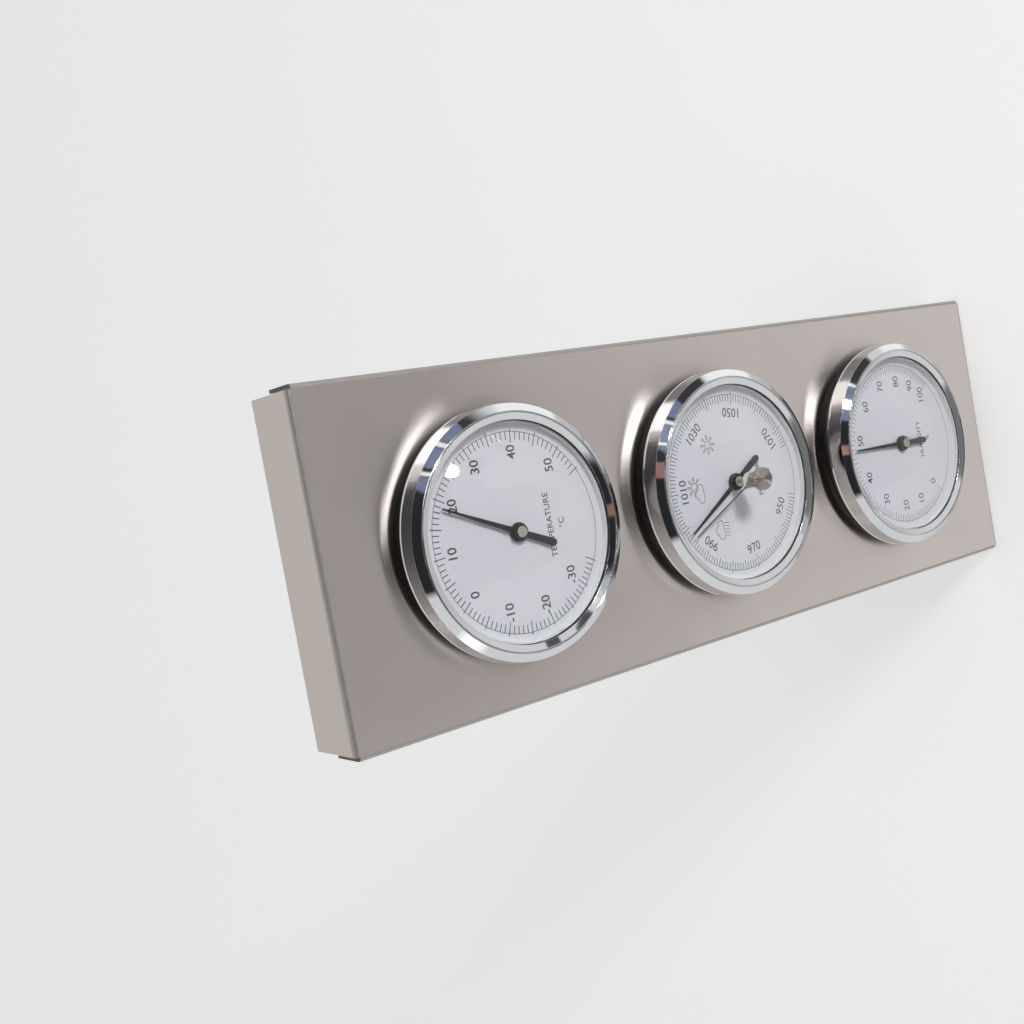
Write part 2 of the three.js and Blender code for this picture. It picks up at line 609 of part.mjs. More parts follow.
// The barometer's movement: capsule, post, rocker, sector and pinion between two plates
function addBarometerMovement(group) {
  const name = 'barometer';
  const baseTop = floorZ + BASE_PLATE_THICKNESS;
  const topPlateTop = dialSeatZ - TOP_PLATE_DIAL_GAP;
  const topPlateUnder = topPlateTop - TOP_PLATE_THICKNESS;
  const bearing = ARBOR_RADIUS + BEARING_CLEARANCE;

  const disc = rod(0, 0, plateRadius, floorZ, baseTop, RING_FACETS);
  const screwHole = rod(0, 0, BASE_PLATE_HOLE_RADIUS, floorZ - 1, baseTop + 1, SMALL_FACETS);
  addPiece(group, `${name}_base_plate`, disc.subtract(screwHole), BRIGHT_STEEL);
  const cover = rod(0, 0, plateRadius, topPlateUnder, topPlateTop, RING_FACETS);
  const arborHole = rod(0, 0, bearing, topPlateUnder - 1, topPlateTop + 1);
  addPiece(group, `${name}_top_plate`, cover.subtract(arborHole), BRASS);
  PILLAR_ANGLES.forEach((angle, index) => {
    const [x, y] = polar(plateRadius - PILLAR_EDGE, angle);
    const pillar = rod(x, y, PILLAR_RADIUS, baseTop, topPlateUnder);
    addPiece(group, `${name}_pillar_${index + 1}`, pillar, BRASS);
  });

  // Aneroid capsule: foot, rippled faces, a threaded bore behind and a well in front
  const shankBore = SCREW_SHANK_RADIUS + SCREW_FIT;
  const footTop = baseTop + CAPSULE_FOOT_HEIGHT;
  const capsuleTop = footTop + CAPSULE_THICKNESS;
  const wellRadius = CAPSULE_POST_RADIUS + CAPSULE_POST_FIT;
  const wellFloor = capsuleTop - CAPSULE_WELL_DEPTH;
  const rippleRadius = (share) => wellRadius + (CAPSULE_RADIUS - wellRadius) * share;
  const boreTop = (footTop + wellFloor) / 2;
  const capsule = turned([
    [0, boreTop],
    [shankBore, boreTop],
    [shankBore, baseTop],
    [CAPSULE_FOOT_RADIUS, baseTop],
    [CAPSULE_FOOT_RADIUS, footTop],
    [rippleRadius(0.75), footTop],
    [CAPSULE_RADIUS, footTop + CAPSULE_THICKNESS / 2 - CAPSULE_RIPPLE / 2],
    [CAPSULE_RADIUS, footTop + CAPSULE_THICKNESS / 2 + CAPSULE_RIPPLE / 2],
    [rippleRadius(0.75), capsuleTop],
    [rippleRadius(0.5), capsuleTop - CAPSULE_RIPPLE],
    [rippleRadius(0.25), capsuleTop],
    [wellRadius, capsuleTop],
    [wellRadius, wellFloor],
    [0, wellFloor],
  ], RING_FACETS);
  addPiece(group, `${name}_capsule`, capsule, COIL_STRIP);
  const postFoot = wellFloor + CAPSULE_POST_TRAVEL;
  const postTop = postFoot + CAPSULE_POST_HEIGHT;
  const post = rod(0, 0, CAPSULE_POST_RADIUS, postFoot, postTop, SMALL_FACETS);
  addPiece(group, `${name}_capsule_post`, post, BRASS);

  const screw = turned([
    [0, -BARREL_DEPTH],
    [SCREW_HEAD_RADIUS, -BARREL_DEPTH],
    [SCREW_HEAD_RADIUS, floorZ],
    [SCREW_SHANK_RADIUS, floorZ],
    [SCREW_SHANK_RADIUS, floorZ + SCREW_SHANK_LENGTH],
    [0, floorZ + SCREW_SHANK_LENGTH],
  ], SMALL_FACETS);
  addPiece(group, `${name}_adjusting_screw`, screw.subtract(rearSlot(SCREW_HEAD_RADIUS)), BRASS);

  // Sector gear: its pivot stands where the finger of the rocker meets its tail pin
  const pinionPitch = (GEAR_MODULE * PINION_TEETH) / 2;
  const sectorPitch = (GEAR_MODULE * SECTOR_FULL_TEETH) / 2;
  const centres = pinionPitch + sectorPitch;
  const pivotY = ROCKER_OFFSET + FINGER_RADIUS + FINGER_PIN_GAP + TAIL_PIN_RADIUS;
  const pivotX = Math.sqrt(centres ** 2 - pivotY ** 2);
  const lineAngle = THREE.MathUtils.radToDeg(Math.atan2(pivotY, pivotX));
  const ratio = PINION_TEETH / SECTOR_FULL_TEETH;
  const sectorTop = topPlateUnder - SECTOR_TOP_GAP;
  const sectorUnder = sectorTop - SECTOR_THICKNESS;
  const toothStep = 360 / SECTOR_FULL_TEETH;
  const fan = [[0, 0]];
  for (let i = 0; i < SECTOR_TEETH; i += 1) {
    const middle = 180 + lineAngle + (i - (SECTOR_TEETH - 1) / 2) * toothStep;
    fan.push(...toothPoints(sectorPitch, middle));
  }
  const fanPlate = plate(outline(fan), sectorUnder, sectorTop).translate([pivotX, pivotY, 0]);
  const sectorHub = rod(pivotX, pivotY, SECTOR_HUB_RADIUS, sectorUnder, sectorTop, SMALL_FACETS);
  const sectorBore = rod(
    pivotX,
    pivotY,
    SECTOR_PIN_RADIUS + BEARING_CLEARANCE,
    sectorUnder - 1,
    sectorTop + 1,
  );
  const turnedFan = turnClockwise(fanPlate.add(sectorHub), -BAROMETER_REST * ratio, pivotX, pivotY);
  const tailPin = rod(
    pivotX - TAIL_PIN_CIRCLE,
    pivotY,
    TAIL_PIN_RADIUS,
    sectorUnder - TAIL_PIN_LENGTH,
    (sectorUnder + sectorTop) / 2,
  );
  addPiece(group, `${name}_sector_gear`, turnedFan.subtract(sectorBore).add(tailPin), BRASS);
  const sectorPin = rod(pivotX, pivotY, SECTOR_PIN_RADIUS, baseTop, topPlateUnder);
  addPiece(group, `${name}_sector_pin`, sectorPin, BRIGHT_STEEL);

  // Rocker: a cross shaft in two brackets, a crank over the post and a finger at the tail pin
  const rockerZ = postTop + CRANK_GAP + CRANK_RADIUS;
  const bracketX = CAPSULE_RADIUS + BRACKET_CAPSULE_GAP;
  const bracketOut = bracketX + BRACKET_THICKNESS;
  const fingerX = pivotX - TAIL_PIN_CIRCLE;
  const shaft = crossRod(-bracketOut - ROCKER_END, fingerX + FINGER_RADIUS, ROCKER_OFFSET, rockerZ, ROCKER_RADIUS);
  const crankEnd = -CAPSULE_POST_RADIUS / 2;
  const crank = block(
    -CRANK_RADIUS,
    CRANK_RADIUS,
    crankEnd,
    ROCKER_OFFSET,
    rockerZ - CRANK_RADIUS,
    rockerZ + CRANK_RADIUS,
  );
  const finger = rod(fingerX, ROCKER_OFFSET, FINGER_RADIUS, rockerZ, sectorUnder - FINGER_TOP_GAP);
  addPiece(group, `${name}_rocker_shaft`, shaft.add(crank).add(finger), BRIGHT_STEEL);
  for (const [side, x] of [['left', -bracketOut], ['right', bracketX]]) {
    const half = BRACKET_WIDTH / 2;
    const upright = block(
      x,
      x + BRACKET_THICKNESS,
      ROCKER_OFFSET - half,
      ROCKER_OFFSET + half,
      baseTop,
      rockerZ + ROCKER_RADIUS + BRACKET_HEAD,
    );
    const eye = crossRod(
      x - 1,
      x + BRACKET_THICKNESS + 1,
      ROCKER_OFFSET,
      rockerZ,
      ROCKER_RADIUS + BEARING_CLEARANCE,
    );
    addPiece(group, `${name}_rocker_bracket_${side}`, upright.subtract(eye), BRIGHT_STEEL);
  }

  // Arbor with its pinion, hung between the top plate and a bridge below it
  const bridgeFoot = rockerZ + ROCKER_RADIUS + ARBOR_BRIDGE_ROCKER_GAP;
  const barTop = bridgeFoot + TOP_PLATE_THICKNESS;
  const legIn = ARBOR_BRIDGE_SPAN / 2 - TOP_PLATE_THICKNESS;
  const legOut = ARBOR_BRIDGE_SPAN / 2;
  const stirrup = outline([
    [-legOut, topPlateUnder],
    [-legOut, bridgeFoot],
    [legOut, bridgeFoot],
    [legOut, topPlateUnder],
    [legIn, topPlateUnder],
    [legIn, barTop],
    [-legIn, barTop],
    [-legIn, topPlateUnder],
  ]);
  const hanger = profileAlongY(stirrup, ARBOR_BRIDGE_WIDTH).rotate([0, 0, 90]);
  const bridge = hanger.translate([ARBOR_BRIDGE_SHIFT, 0, 0]);
  const bridgeHole = rod(0, 0, bearing, bridgeFoot - 1, barTop + 1);
  addPiece(group, `${name}_arbor_bridge`, bridge.subtract(bridgeHole), BRASS);

  const springZ = barTop + HAIRSPRING_LIFT;
  const springTop = springZ + HAIRSPRING.width;
  const pinionMiddle = (sectorUnder + sectorTop) / 2;
  const shaftBody = turned([
    [0, bridgeFoot],
    [ARBOR_RADIUS, bridgeFoot],
    [ARBOR_RADIUS, springZ],
    [COLLET_RADIUS, springZ],
    [COLLET_RADIUS, springTop],
    [ARBOR_RADIUS, springTop],
    [ARBOR_RADIUS, hubTopZ],
    [ARBOR_HEAD_RADIUS, hubTopZ],
    [ARBOR_HEAD_RADIUS, arborTopZ],
    [0, arborTopZ],
  ], SHAFT_FACETS);
  const teeth = [];
  for (let i = 0; i < PINION_TEETH; i += 1) {
    teeth.push(...toothPoints(pinionPitch, lineAngle + (i * 360) / PINION_TEETH));
  }
  const wheel = plate(outline(teeth), pinionMiddle - PINION_HEIGHT / 2, pinionMiddle + PINION_HEIGHT / 2);
  addPiece(group, `${name}_arbor`, shaftBody.add(turnClockwise(wheel, BAROMETER_REST)), BRIGHT_STEEL);

  const half = HAIRSPRING.thickness / 2;
  const inner = COLLET_RADIUS + COIL_COLLET_GAP + half;
  const outer = HAIRSPRING_STUD_CIRCLE - HAIRSPRING_STUD_RADIUS - SEAT_GAP - half;
  const spring = makeSpiral(HAIRSPRING, inner, outer, springZ).rotate([0, 0, 180]);
  addPiece(group, `${name}_hairspring`, spring, BRASS);
  const stud = rod(-HAIRSPRING_STUD_CIRCLE, 0, HAIRSPRING_STUD_RADIUS, springZ, topPlateUnder);
  addPiece(group, `${name}_hairspring_stud`, stud, BRASS);
}

// Set hand: a turned knob through the lens, a washer under it and a hand riveted below
function addSetHand(group) {
  const lensUnder = lensApexZ - LENS_THICKNESS;
  const washerTop = lensUnder - KNOB_LENS_GAP;
  const washerUnder = washerTop - WASHER_THICKNESS;
  const bossUnder = washerUnder - SET_HAND_BOSS_HEIGHT;
  const neckZ = lensApexZ + KNOB_LENS_GAP;
  const headZ = neckZ + KNOB_NECK_HEIGHT;
  const faceZ = headZ + KNOB_HEAD_HEIGHT;
  const knob = turned([
    [0, bossUnder - KNOB_RIVET_HEIGHT],
    [KNOB_RIVET_RADIUS, bossUnder - KNOB_RIVET_HEIGHT],
    [KNOB_RIVET_RADIUS, bossUnder],
    [KNOB_SHAFT_RADIUS, bossUnder],
    [KNOB_SHAFT_RADIUS, neckZ],
    [KNOB_NECK_RADIUS, neckZ],
    [KNOB_NECK_RADIUS, headZ],
    [KNOB_RADIUS, headZ],
    [KNOB_RADIUS, faceZ],
    [0, faceZ - KNOB_DISH],
  ], SMALL_FACETS);
  addPiece(group, 'set_knob', knob, KNOB_NICKEL);

  const shaftBore = rod(0, 0, KNOB_SHAFT_RADIUS + BEARING_CLEARANCE, bossUnder - 1, neckZ, SMALL_FACETS);
  const washer = rod(0, 0, WASHER_RADIUS, washerUnder, washerTop, SMALL_FACETS);
  addPiece(group, 'set_knob_washer', washer.subtract(shaftBore), WHITE_PLASTIC);

  const boss = rod(0, 0, SET_HAND_BOSS_RADIUS, bossUnder, washerUnder, SMALL_FACETS);
  const tipUnder = needleTopZ + SET_HAND_POINTER_GAP;
  const bladeUnder = bossUnder + (SET_HAND_BOSS_HEIGHT - SET_HAND_THICKNESS) / 2;
  const side = outline([
    [0, bladeUnder],
    [POINTER_LENGTH, tipUnder],
    [POINTER_LENGTH, tipUnder + SET_HAND_THICKNESS],
    [0, bladeUnder + SET_HAND_THICKNESS],
  ]);
  const blade = profileAlongY(side, SET_HAND_WIDTH).translate([0, SET_HAND_OFFSET, 0]).rotate([0, 0, 90]);
  const hand = turnClockwise(boss.add(blade).subtract(shaftBore), SET_HAND_REST);
  addPiece(group, 'set_hand', hand, BRIGHT_STEEL);
}

// Assembly
const station = new THREE.Group();
const middleY = HOOK_DROP - TRAY_HEIGHT / 2;
const trayGroup = new THREE.Group();
trayGroup.position.set(0, middleY, TRAY_DEPTH);
station.add(trayGroup);
addPiece(trayGroup, 'panel_tray', makeTray(), SATIN_STEEL);
addPiece(station, 'hanger_plate', makeHanger(), BRIGHT_STEEL);

const coilOptions = { rearHoleRadius: ADJUSTER_RADIUS + ADJUSTER_FIT, ventCount: VENT_COUNT, lensHoleRadius: 0 };
const thermometer = addInstrument(station, 'thermometer', middleY + DIAL_PITCH, {
  ...coilOptions,
  rest: THERMOMETER_REST,
});
addCoilMovement(thermometer, 'thermometer', THERMOMETER_COIL);

const barometer = addInstrument(station, 'barometer', middleY, {
  rearHoleRadius: SCREW_HEAD_RADIUS + SCREW_FIT,
  ventCount: 1,
  lensHoleRadius: KNOB_SHAFT_RADIUS + SCREW_FIT,
  rest: BAROMETER_REST,
});
addBarometerMovement(barometer);
addSetHand(barometer);

const hygrometer = addInstrument(station, 'hygrometer', middleY - DIAL_PITCH, {
  ...coilOptions,
  rest: HYGROMETER_REST,
});
addCoilMovement(hygrometer, 'hygrometer', HYGROMETER_COIL);

station.rotation.x = Math.PI / 2;
const weatherStation = new THREE.Group();
weatherStation.add(station);

export default weatherStation;
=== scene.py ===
import json
import math

import bmesh
import bpy
from mathutils import Matrix, Vector


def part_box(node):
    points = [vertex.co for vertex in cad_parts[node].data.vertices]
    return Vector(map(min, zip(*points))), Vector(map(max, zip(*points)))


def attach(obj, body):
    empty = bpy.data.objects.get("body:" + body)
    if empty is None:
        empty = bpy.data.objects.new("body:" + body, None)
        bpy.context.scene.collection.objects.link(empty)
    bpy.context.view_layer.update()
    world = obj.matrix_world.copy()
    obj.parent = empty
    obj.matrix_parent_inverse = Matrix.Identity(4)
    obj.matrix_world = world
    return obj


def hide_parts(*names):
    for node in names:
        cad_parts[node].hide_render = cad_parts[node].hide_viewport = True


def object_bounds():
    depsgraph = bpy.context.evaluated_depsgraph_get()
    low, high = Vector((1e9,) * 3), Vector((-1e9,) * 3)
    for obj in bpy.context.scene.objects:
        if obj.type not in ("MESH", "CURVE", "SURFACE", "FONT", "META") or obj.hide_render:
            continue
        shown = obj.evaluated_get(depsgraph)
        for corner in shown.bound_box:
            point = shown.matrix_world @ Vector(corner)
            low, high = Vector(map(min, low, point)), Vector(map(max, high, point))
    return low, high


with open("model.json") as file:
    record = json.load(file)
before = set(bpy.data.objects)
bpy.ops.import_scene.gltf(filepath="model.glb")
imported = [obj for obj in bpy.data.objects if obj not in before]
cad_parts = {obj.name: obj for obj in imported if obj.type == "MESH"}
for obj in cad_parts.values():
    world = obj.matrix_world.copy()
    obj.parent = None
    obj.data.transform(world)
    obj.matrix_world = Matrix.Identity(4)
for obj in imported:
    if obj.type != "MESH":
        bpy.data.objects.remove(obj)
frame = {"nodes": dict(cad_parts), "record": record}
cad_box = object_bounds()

# The picture
# The station stands on its lower end, and the camera looks down on it from in front.
# The camera is rolled by about a quarter turn, so that the thermometer end is on the left.
CAMERA_PLACE = Vector((0.02341, -0.30893, 0.1588))
CAMERA_RIGHT = Vector((-0.1776, -0.5879, -0.7892))
CAMERA_UP = Vector((0.9828, -0.0651, -0.1727))
CAMERA_LENS = 43.657

scene = bpy.context.scene
scene.view_settings.view_transform = "Standard"
camera = bpy.data.objects.new("camera", bpy.data.cameras.new("camera"))
camera.data.lens = CAMERA_LENS
camera_axes = Matrix((CAMERA_RIGHT, CAMERA_UP, CAMERA_RIGHT.cross(CAMERA_UP))).transposed()
camera.matrix_world = Matrix.Translation(CAMERA_PLACE) @ camera_axes.to_4x4()
scene.collection.objects.link(camera)
scene.camera = camera

# The studio
# A pale matt floor in even light, with a soft lamp from the front right and one from above.
# Cards that only mirrors see stand for the room: a dark wall, window panes, a blind and lamps.
AMBIENT_FAR = 0.04
AMBIENT_NEAR = 0.52
AMBIENT_FROM = Vector((0.6, -0.2, -0.77))
PALE_ROOM = 0.84
ROOM_DISTANCE = 5.0
MIDDLE = (cad_box[0] + cad_box[1]) / 2


def toward(azimuth, elevation):
    """The unit vector from the station into the room, where 0, 0 is straight ahead of the dials."""
    turn = math.radians(azimuth)
    rise = math.radians(elevation)
    return Vector((math.sin(turn) * math.cos(rise), -math.cos(turn) * math.cos(rise), math.sin(rise)))


world = bpy.data.worlds.new("studio")
scene.world = world
world.use_nodes = True
sky = world.node_tree
paths = sky.nodes.new("ShaderNodeLightPath")
seen = paths.outputs["Is Camera Ray"]
for ray in ("Is Glossy Ray", "Is Transmission Ray"):
    either = sky.nodes.new("ShaderNodeMath")
    either.operation = "MAXIMUM"
    sky.links.new(seen, either.inputs[0])
    sky.links.new(paths.outputs[ray], either.inputs[1])
    seen = either.outputs[0]
direction = sky.nodes.new("ShaderNodeTexCoord")
across = sky.nodes.new("ShaderNodeVectorMath")
across.operation = "DOT_PRODUCT"
across.inputs[1].default_value = AMBIENT_FROM
sky.links.new(direction.outputs["Generated"], across.inputs[0])
ambient = sky.nodes.new("ShaderNodeMapRange")
ambient.inputs["From Min"].default_value = -1.0
ambient.inputs["To Min"].default_value = AMBIENT_FAR
ambient.inputs["To Max"].default_value = AMBIENT_NEAR
sky.links.new(across.outputs["Value"], ambient.inputs["Value"])
level = sky.nodes.new("ShaderNodeMapRange")
level.inputs["To Max"].default_value = PALE_ROOM
sky.links.new(seen, level.inputs["Value"])
sky.links.new(ambient.outputs["Result"], level.inputs["To Min"])
backdrop = sky.nodes["Background"]
backdrop.inputs["Color"].default_value = (1.0, 1.0, 1.0, 1.0)
sky.links.new(level.outputs["Result"], backdrop.inputs["Strength"])

FRONT_LAMP_WAY = toward(36, 6)
FRONT_LAMP_DISTANCE = 1.8
FRONT_LAMP_SIZE = 0.39
FRONT_LAMP_SPREAD = math.radians(100)
FRONT_LAMP_POWER = 4.95
FRONT_LAMP_COLOUR = (1.0, 0.995, 0.985)
TOP_LIGHT_POWER = 0.8
TOP_LIGHT_WIDTH = math.radians(50)
front_light = bpy.data.lights.new("front_lamp", "AREA")
front_light.size = FRONT_LAMP_SIZE
front_light.spread = FRONT_LAMP_SPREAD
front_light.energy = FRONT_LAMP_POWER
front_light.color = FRONT_LAMP_COLOUR
front_lamp = bpy.data.objects.new("front_lamp", front_light)
front_lamp.location = MIDDLE + FRONT_LAMP_WAY * FRONT_LAMP_DISTANCE
front_lamp.rotation_euler = FRONT_LAMP_WAY.to_track_quat("Z", "Y").to_euler()
top_light = bpy.data.lights.new("top_light", "SUN")
top_light.energy = TOP_LIGHT_POWER
top_light.angle = TOP_LIGHT_WIDTH
top_lamp = bpy.data.objects.new("top_light", top_light)
for lamp in (front_lamp, top_lamp):
    lamp.visible_glossy = False
    scene.collection.objects.link(lamp)

CARD_STEPS = 24
LENSES = "lenses"
DIRECT = "mirrors seen by the eye"
REPEATED = "mirrors seen in another mirror"


def difference(tree, whole, part, clamped=False):
    """A value less another, each given as a node's output or as a plain number."""
    less = tree.nodes.new("ShaderNodeMath")
    less.operation = "SUBTRACT"
    less.use_clamp = clamped
    for socket, value in zip(less.inputs, (whole, part)):
        if isinstance(value, float):
            socket.default_value = value
        else:
            tree.links.new(value, socket)
    return less.outputs[0]


def glowing(name, colour, strength, left_out):
    """A material that gives off an even light, and may be left out of some kinds of mirror."""
    paint = bpy.data.materials.new(name)
    paint.use_nodes = True
    nodes = paint.node_tree.nodes
    nodes.remove(nodes["Principled BSDF"])
    glow = nodes.new("ShaderNodeEmission")
    glow.inputs["Color"].default_value = (*colour, 1.0)
    glow.inputs["Strength"].default_value = strength
    cover = nodes.new("ShaderNodeAttribute")
    cover.attribute_name = "cover"
    clear = nodes.new("ShaderNodeBsdfTransparent")
    edge = nodes.new("ShaderNodeMixShader")
    links = paint.node_tree.links
    shown = cover.outputs["Fac"]
    mirrors = nodes.new("ShaderNodeLightPath")
    mirror_count = mirrors.outputs["Ray Depth"]
    for kind in left_out:
        if kind == LENSES:
            hidden = mirrors.outputs["Is Singular Ray"]
        elif kind == DIRECT:
            hidden = difference(paint.node_tree, 2.0, mirror_count)
        else:
            hidden = difference(paint.node_tree, mirror_count, 1.0)
        shown = difference(paint.node_tree, shown, hidden, clamped=True)
    links.new(shown, edge.inputs[0])
    links.new(clear.outputs[0], edge.inputs[1])
    links.new(glow.outputs[0], edge.inputs[2])
    links.new(edge.outputs[0], nodes["Material Output"].inputs["Surface"])
    return paint


def object_from(shape, name):
    """An object of its own from a mesh that is finished."""
    mesh = bpy.data.meshes.new(name)
    shape.to_mesh(mesh)
    shape.free()
    return bpy.data.objects.new(name, mesh)


def card(name, azimuths, elevations, nearer, colour, strength, soft=(0.5, 0.5), lean=0.0, left_out=()):
    """A curved card in degrees, with soft, rounded edges and a lean for each degree of height."""
    shape = bmesh.new()
    cover = shape.verts.layers.float.new("cover")
    rows = []
    for row in range(CARD_STEPS + 1):
        elevation = elevations[0] + (elevations[1] - elevations[0]) * row / CARD_STEPS
        corners = []
        for column in range(CARD_STEPS + 1):
            azimuth = azimuths[0] + (azimuths[1] - azimuths[0]) * column / CARD_STEPS
            place = toward(azimuth + lean * (elevation - elevations[0]), elevation)
            corner = shape.verts.new(MIDDLE + place * (ROOM_DISTANCE - nearer))
            side = min(azimuth - azimuths[0], azimuths[1] - azimuth) / soft[0]
            end = min(elevation - elevations[0], elevations[1] - elevation) / soft[1]
            corner[cover] = max(0.0, 1 - math.hypot(1 - min(1.0, side), 1 - min(1.0, end)))
            corners.append(corner)
        rows.append(corners)
    for low, high in zip(rows, rows[1:]):
        for column in range(CARD_STEPS):
            shape.faces.new((low[column], low[column + 1], high[column + 1], high[column]))
    screen = object_from(shape, name)
    screen.data.materials.append(glowing(name, colour, strength, left_out))
    screen.visible_camera = False
    screen.visible_diffuse = False
    screen.visible_transmission = False
    screen.visible_shadow = False
    scene.collection.objects.link(screen)


WHITE = (1.0, 1.0, 1.0)
DUSK = (0.9, 0.9, 1.0)
SKY = (0.55, 0.62, 0.95)
RED = (1.0, 0.52, 0.46)
NEAR = ROOM_DISTANCE - 0.5
WINDOW_FOOT = -11
WINDOW_PANES = ((18.5, 14), (28.5, 24), (39.5, 16), (49.5, 14))
PANE_WIDTH = 8
BAR_WIDTH = 2
SPOT_CORNERS = ((19.5, -12), (24.5, -3.5))
SPOT_WIDTH = 5.5
SPOT_HEIGHT = 7
card("back_wall", (130, 230), (-5, 85), 0.0, (1.0, 1.0, 0.98), 0.66, (20, 20))
card("near_floor", (-180, 180), (-90, -52), 0.0, WHITE, 0.52, (0.5, 30))
card("dim_front", (-20, 14), (-58, 22), 0.1, WHITE, 0.22, (3, 27))
card("dark_wall", (-30, 60), (-7.5, 80), 0.2, DUSK, 0.03, (1, 1))
card("dark_corner", (34, 63), (-33, -6), 0.25, DUSK, 0.06, (5, 3))
card("dark_post", (21, 25.5), (-23, -15), 0.25, DUSK, 0.1)
card("dark_sill", (26, 31), (-35, -29), 0.25, DUSK, 0.12)
card("pale_blind", (12, 18), (-20, -5), 0.25, (0.8, 0.9, 1.0), 0.62, (2, 2))
card("red_card_1", (8.5, 18.5), (14.5, 21), 0.3, RED, 0.4, (1, 1))
card("red_card_2", (-2.5, 4.5), (10.5, 14.5), 0.3, RED, 0.5, (1, 1))
card("brown_card", (-6, -2), (-4, 2), 0.3, (1.0, 0.6, 0.42), 0.3)
for index, (left, top) in enumerate(WINDOW_PANES, 1):
    right = left + PANE_WIDTH
    card(f"window_pane_{index}", (left, right), (WINDOW_FOOT, top), 0.3, SKY, 0.42)
    card(f"window_bar_{index}", (right, right + BAR_WIDTH), (WINDOW_FOOT, top), 0.3, WHITE, 1.2)
for index, (left, foot) in enumerate(SPOT_CORNERS, 1):
    card(f"daylight_{index}", (left, left + SPOT_WIDTH), (foot, foot + SPOT_HEIGHT), 0.4, WHITE, 150.0,
         soft=(SPOT_WIDTH / 2, SPOT_HEIGHT / 2), left_out=(REPEATED,))
card("high_light_1", (45.55, 50.45), (-5, 8.5), 0.4, WHITE, 20.0, (0.5, 0.1), lean=-0.72,
     left_out=(LENSES, REPEATED))
card("high_light_2", (35.1, 41.5), (8.5, 22.5), 0.4, WHITE, 26.0, (0.5, 0.1), lean=-1.24,
     left_out=(LENSES, REPEATED))
card("near_light_1", (27, 45), (-5, 23), NEAR, WHITE, 9.0, (3, 3), left_out=(LENSES, DIRECT))
card("near_light_2", (3, 20), (21, 34), NEAR, WHITE, 11.0, (3, 3), left_out=(LENSES, DIRECT))
card("thin_light", (29.2, 30.2), (-32, -26.5), 0.4, WHITE, 6.0, (0.3, 0.5), lean=0.94)
card("right_screen", (58, 86), (-66, -29), 0.4, WHITE, 1.18, (2, 5))
card("left_screen", (-60, -46), (-6, 13), 0.4, WHITE, 1.5, (5, 5))

FLOOR_HALF = 4.0
FLOOR_COLOUR = (0.88, 0.885, 0.89, 1.0)
FLOOR_GLOW = 0.4
floor_corners = [(x * FLOOR_HALF, y * FLOOR_HALF, cad_box[0].z)
                 for x, y in ((-1, -1), (1, -1), (1, 1), (-1, 1))]
floor_mesh = bpy.data.meshes.new("floor")
floor_mesh.from_pydata(floor_corners, [], [(0, 1, 2, 3)])
floor = bpy.data.objects.new("floor", floor_mesh)
floor_paint = bpy.data.materials.new("matt_white_floor")
floor_paint.use_nodes = True
floor_tree = floor_paint.node_tree
floor_shader = floor_tree.nodes["Principled BSDF"]
floor_shader.inputs["Base Color"].default_value = FLOOR_COLOUR
floor_shader.inputs["Roughness"].default_value = 0.9
floor_shader.inputs["Specular IOR Level"].default_value = 0.1
floor_shader.inputs["Emission Color"].default_value = (1.0, 1.0, 1.0, 1.0)
floor_paths = floor_tree.nodes.new("ShaderNodeLightPath")
floor_level = floor_tree.nodes.new("ShaderNodeMath")
floor_level.operation = "MULTIPLY"
floor_level.inputs[1].default_value = FLOOR_GLOW
floor_tree.links.new(floor_paths.outputs["Is Camera Ray"], floor_level.inputs[0])
floor_tree.links.new(floor_level.outputs[0], floor_shader.inputs["Emission Strength"])
floor_mesh.materials.append(floor_paint)
floor.visible_glossy = False
scene.collection.objects.link(floor)

# The panel
# One sheet of 1 mm stainless steel with a satin grain along its length, sheared, lightly deburred and
# folded into a tray with three round holes. The folds are rougher, and darkened as painted shade,
# and the inside is rougher, and painted near black as painted shade.
MM = 0.001
DEBURR = 0.1 * MM
WELD = 0.0005 * MM
CREASE = math.radians(40)


